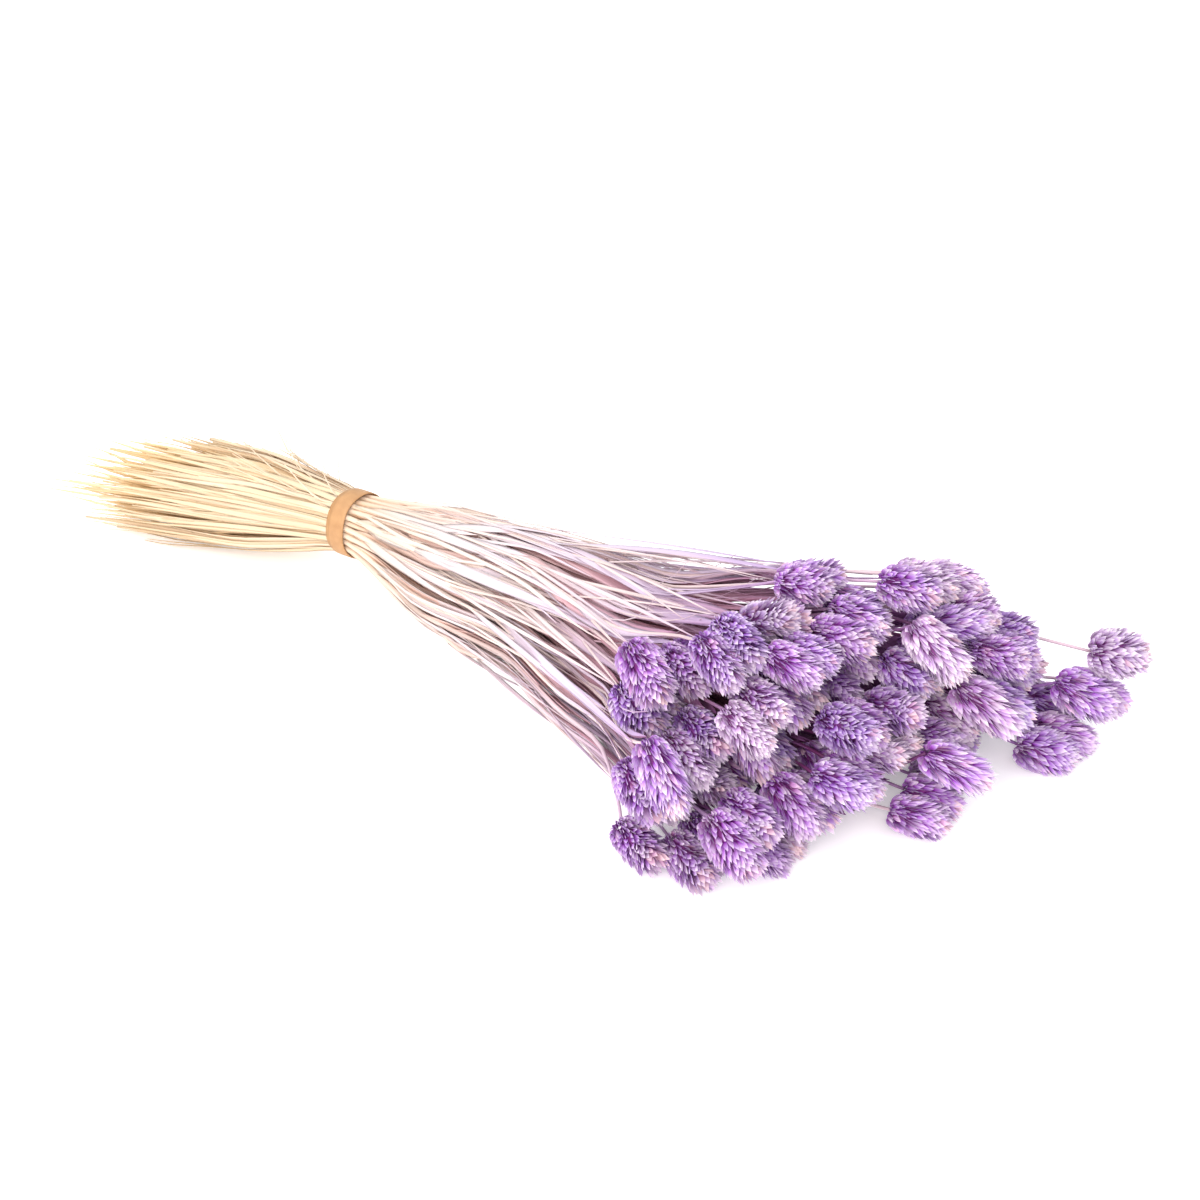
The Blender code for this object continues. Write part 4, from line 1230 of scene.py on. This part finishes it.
def head_pattern(number):
    """A whole head along +X, with its foot at the origin, as a mesh."""
    draw = random.Random(SEED + 100 + number)
    bm = start_mesh()
    tones = bm.verts.layers.float_color["tone"]
    for count in range(SPIKELETS):
        share = (count + 0.5) / SPIKELETS
        turn = GOLDEN * count + draw.uniform(-0.14, 0.14)
        root, tip = spikelet_line(share, turn, draw, BURSTS[number % len(BURSTS)])
        around = Vector((0.0, -math.sin(turn), math.cos(turn)))
        ahead = (tip - root).normalized()
        edge_on = min(max((FLAT_FROM - share) / (FLAT_FROM - EDGE_ON_UNTIL), 0.0), 1.0) * EDGE_ON
        roll = draw.gauss(edge_on * draw.choice((-1.0, 1.0)), 0.20 + 0.22 * share)
        wide = (around * math.cos(roll) + ahead.cross(around) * math.sin(roll)).normalized()
        thin = wide.cross(ahead)
        if thin.x > 0.0:
            thin = -thin
        opened = max(0.0, share - OPEN_FROM) / (1.0 - OPEN_FROM)
        white = draw.random() ** (1.0 - 0.8 * opened)
        warm = min(draw.random() * (1.0 if share < 0.96 else 1.6), 1.0)
        dyed = DYED_FOOT * max(0.0, 1.0 - share / 0.4)
        for mirror in (1.0, -1.0):
            splay = mirror * draw.uniform(*SPLAY)
            up = (ahead * math.cos(splay) + thin * math.sin(splay)) * draw.uniform(0.94, 1.04)
            up *= (tip - root).length
            size = draw.uniform(*GLUME_SIZE) * (1.0 + 0.55 * opened) * MM
            columns = (wide * size, thin * size * (1.0 if mirror > 0.0 else 0.55), up)
            matrix = Matrix(columns).transposed().to_4x4()
            for vert in copy_into(bm, glume, Matrix.Translation(root) @ matrix):
                note = vert[tones]
                vert[tones] = (white, warm, max(note[2], dyed), note[3])
    for _ in range(HAIRS):
        share = draw.uniform(0.05, 1.0)
        root, tip = spikelet_line(share, draw.uniform(0.0, 2.0 * math.pi), draw)
        length = (tip - root).length * draw.uniform(1.10, 1.22)
        hair = bmesh.ops.create_cone(bm, cap_ends=True, segments=3, radius1=HAIR_RADIUS,
                                     radius2=0.0, depth=length)["verts"]
        for vert in hair:
            vert[tones] = HAIR_TONE
        turned = (tip - root).to_track_quat("Z", "Y").to_matrix().to_4x4()
        middle = Matrix.Translation(root + (tip - root).normalized() * 0.5 * length)
        bmesh.ops.transform(bm, matrix=middle @ turned, verts=hair)
    for vert in bmesh.ops.create_uvsphere(bm, u_segments=12, v_segments=9, radius=1.0)["verts"]:
        x, y, z = vert.co
        vert.co = (HEAD_LENGTH * (CORE_MIDDLE + CORE_HALF_LENGTH * z),
                   CORE_RADIUS * HEAD_RADIUS * x, CORE_RADIUS * HEAD_RADIUS * y)
        vert[tones] = CORE_TONE
    return to_mesh(bm, "head_pattern_%d" % number)


patterns = [head_pattern(number) for number in range(PATTERNS)]
print("faces in a head:", [len(mesh.polygons) for mesh in patterns])

# %% [markdown]
# ## The dyed glumes
#
# The dye ran deeper into the roots of the glumes and left their points pale. So colour follows
# the length of each glume, from wine-purple at its root over violet to pale lilac. The dark wine
# root is partly dye and partly painted shade of the hollows between the glumes. Some glumes and
# some whole heads took less dye and end nearly white, glumes are paler at their edges, and a few
# are beige.

# %% The glumes' material
# Colours along a glume, from its root (0) to its point (1). The dark root is partly dye and
# partly painted shade of the hollows between the glumes
VIOLET = ((0.05, 120, 48, 127), (0.36, 160, 99, 183), (0.60, 187, 144, 213),
          (0.82, 209, 180, 229), (1.00, 227, 211, 238))
PALE = ((0.05, 140, 70, 138), (0.30, 194, 148, 196), (0.56, 220, 197, 225),
        (0.82, 240, 226, 242), (1.00, 248, 240, 244))
BEIGE = (232, 190, 160)
glume_material, tree, shader = new_material("dyed glume", 0.62, 0.3)
white, warm, along, edge = read_notes(tree)
own = add_node(tree, "ShaderNodeAttribute", attribute_name="grain")
whole_head = add_node(tree, "ShaderNodeSeparateXYZ", {0: own.outputs["Vector"]}).outputs
paleness = combine(tree, "ADD", fit(tree, white, 0.55, 1.0, 0.0, 0.7),
                   fit(tree, whole_head["X"], 0.0, 1.0, 0.0, 0.75))
paleness = combine(tree, "ADD", paleness, fit(tree, edge, 0.3, 1.0, 0.0, 0.3))
colour = mix(tree, paleness, ramp(tree, along, VIOLET), ramp(tree, along, PALE))
colour = mix(tree, fit(tree, warm, 0.95, 1.0, 0.0, 0.3), colour, linear(*BEIGE))
hue = add_node(tree, "ShaderNodeHueSaturation", {
    "Saturation": 1.26, "Hue": fit(tree, whole_head["Y"], 0.0, 1.0, 0.482, 0.508),
    "Value": fit(tree, warm, 0.0, 1.0, 0.71, 0.93), "Color": colour})
tree.links.new(hue.outputs["Color"], shader.inputs["Base Color"])
print("glume material:", glume_material.name)

# %% Put the heads on their stems
# How far a head's dress is as wide as its solid, for most heads and for the stray one
DRESSED = 0.98
STRAY_DRESSED = 1.20
PALE_HEAD_ABOVE = 0.72
head_draw = random.Random(SEED + 60)
head_objects = []
for number, members in enumerate(units, start=1):
    bm = start_mesh()
    grain = bm.verts.layers.float_vector["grain"]
    for index in members:
        base, tip = lines[index]
        stalk = stalks[index]
        axis = (tip - base).normalized()
        turn = Vector((1.0, 0.0, 0.0)).rotation_difference(axis).to_matrix().to_4x4()
        roll = Matrix.Rotation(stalk["roll"], 4, "X")
        fullness = STRAY_DRESSED if stalk["unit"] == "stray" else DRESSED
        wide = fullness * stalk["radius"] / HEAD_RADIUS
        size = Matrix.Diagonal(((tip - base).length / HEAD_LENGTH, wide, wide, 1.0))
        fresh = copy_into(bm, patterns[head_draw.randrange(PATTERNS)],
                          Matrix.Translation(base) @ turn @ roll @ size)
        pale = max(0.0, head_draw.random() - PALE_HEAD_ABOVE) / (1.0 - PALE_HEAD_ABOVE)
        notes = Vector((pale, head_draw.random(), 0.0))
        for vert in fresh:
            vert[grain] = notes
            vert.co.z = max(vert.co.z, 0.0)
    piece = finish_mesh(bm, "seed_heads_%02d" % number, glume_material, smooth=False)
    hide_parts("heads_%02d" % number)
    head_objects.append(piece)
for mesh in patterns + [glume]:
    bpy.data.meshes.remove(mesh)
print("head triangles:", triangles(head_objects))

# %% [markdown]
# ## The rubber band
#
# A flat band of natural rubber, wound round twice. The turns don't lie quite on each other, so a
# second edge shows. The flat section of each turn is spun once round the bunch's axis.

# %% Make the band
BAND_TURN_THICKNESS = 0.0007
BAND_TURN_WIDTH = 0.0096
BAND_TURN_SHIFT = 0.0009
BAND_STEPS = 96


def band_turn(bm, inner, shift):
    """One flat turn, spun from a rounded section."""
    section = bmesh.ops.create_grid(bm, x_segments=6, y_segments=1, size=0.5)["verts"]
    rim = list(dict.fromkeys(edge for vert in section for edge in vert.link_edges
                             if edge.is_boundary))
    faces = list(dict.fromkeys(face for vert in section for face in vert.link_faces))
    for vert in section:
        along, up = vert.co.x, vert.co.y
        rounded = 1.0 - 0.35 * (2.0 * abs(along)) ** 6
        vert.co = (BAND_X + shift + along * BAND_TURN_WIDTH,
                   BAND_Y + inner + BAND_TURN_THICKNESS * (0.5 + up * rounded), BAND_Z)
    bmesh.ops.delete(bm, geom=faces, context="FACES_ONLY")
    bmesh.ops.spin(bm, geom=rim, cent=(BAND_X, BAND_Y, BAND_Z), axis=(1.0, 0.0, 0.0),
                   angle=2.0 * math.pi, steps=BAND_STEPS, use_merge=True)
    loose = [edge for edge in bm.edges if not edge.link_faces]
    bmesh.ops.delete(bm, geom=loose, context="EDGES")


rubber_material, tree, shader = new_material("natural rubber", 0.55)
spot = add_node(tree, "ShaderNodeTexCoord")
cloud = add_node(tree, "ShaderNodeTexNoise", {
    "Scale": 220.0, "Detail": 4.0, "Vector": spot.outputs["Object"]}).outputs["Fac"]
rubber = ramp(tree, cloud, ((0.3, 170, 126, 82), (0.7, 184, 140, 94)))
tree.links.new(rubber, shader.inputs["Base Color"])
roughen(tree, shader, cloud, 0.2, 0.0003)

bm = start_mesh()
band_turn(bm, BAND_INNER_RADIUS, -BAND_TURN_SHIFT)
band_turn(bm, BAND_INNER_RADIUS + BAND_TURN_THICKNESS, BAND_TURN_SHIFT)
for vert in bm.verts:
    around = math.atan2(vert.co.z - BAND_Z, vert.co.y - BAND_Y)
    vert.co.x += 0.0004 * math.sin(2.0 * around + 0.6) + 0.0002 * math.sin(5.0 * around)
band = finish_mesh(bm, "rubber_band_wound", rubber_material)
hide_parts("rubber_band")
print("band faces:", len(band.data.polygons))

# %% [markdown]
# ## Floor, light and camera
#
# The photograph shows the bunch on white, in light that is large and soft and leaves hardly a
# shadow. A pale floor that glows a little, a bright sky, one wide lamp from above and a warm,
# wider one from the camera's side do the same. The camera looks down on the bunch from the side
# of the seed heads.

# %% Floor
FLOOR_HALF = 12.0
bm = bmesh.new()
bmesh.ops.create_grid(bm, x_segments=1, y_segments=1, size=FLOOR_HALF)
floor = add_object("floor", to_mesh(bm, "floor"))
floor_material, tree, shader = new_material("white floor", 0.9, 0.0)
shader.inputs["Base Color"].default_value = (0.95, 0.945, 0.95, 1.0)
shader.inputs["Emission Color"].default_value = (1.0, 1.0, 1.0, 1.0)
shader.inputs["Emission Strength"].default_value = 0.27
floor.data.materials.append(floor_material)

# %% Light
world = bpy.data.worlds.new("bright studio")
bpy.context.scene.world = world
world.use_nodes = True
sky = world.node_tree.nodes["Background"]
sky.inputs["Color"].default_value = (0.965, 0.985, 1.0, 1.0)
sky.inputs["Strength"].default_value = 1.25


def area_lamp(name, place, target, size, power, colour=(1.0, 1.0, 1.0)):
    """A square soft lamp at place that shines on target."""
    lamp = bpy.data.lights.new(name, "AREA")
    lamp.size = size
    lamp.energy = power
    lamp.color = colour
    holder = add_object(name, lamp)
    holder.location = place
    holder.rotation_euler = (Vector(target) - Vector(place)).to_track_quat("-Z", "Y").to_euler()


area_lamp("key light", (-0.35, -0.25, 1.15), (0.05, 0.0, 0.0), 0.7, 4.0)
area_lamp("fill light", (0.50, -1.20, 0.80), (0.02, 0.0, 0.04), 0.9, 16.0, (1.0, 0.89, 0.87))

# %% Camera
AIM = Vector((0.0401, 0.0200, 0.040))
AZIMUTH = math.radians(32.98)
ELEVATION = math.radians(31.45)
DISTANCE = 0.9606
back = Vector((math.sin(AZIMUTH) * math.cos(ELEVATION), -math.cos(AZIMUTH) * math.cos(ELEVATION),
               math.sin(ELEVATION)))
lens = bpy.data.cameras.new("camera")
lens.lens = 60.0
camera = add_object("camera", lens)
camera.location = AIM + back * DISTANCE
camera.rotation_euler = (-back).to_track_quat("-Z", "Y").to_euler()
bpy.context.scene.camera = camera
bpy.context.scene.view_settings.view_transform = "Standard"
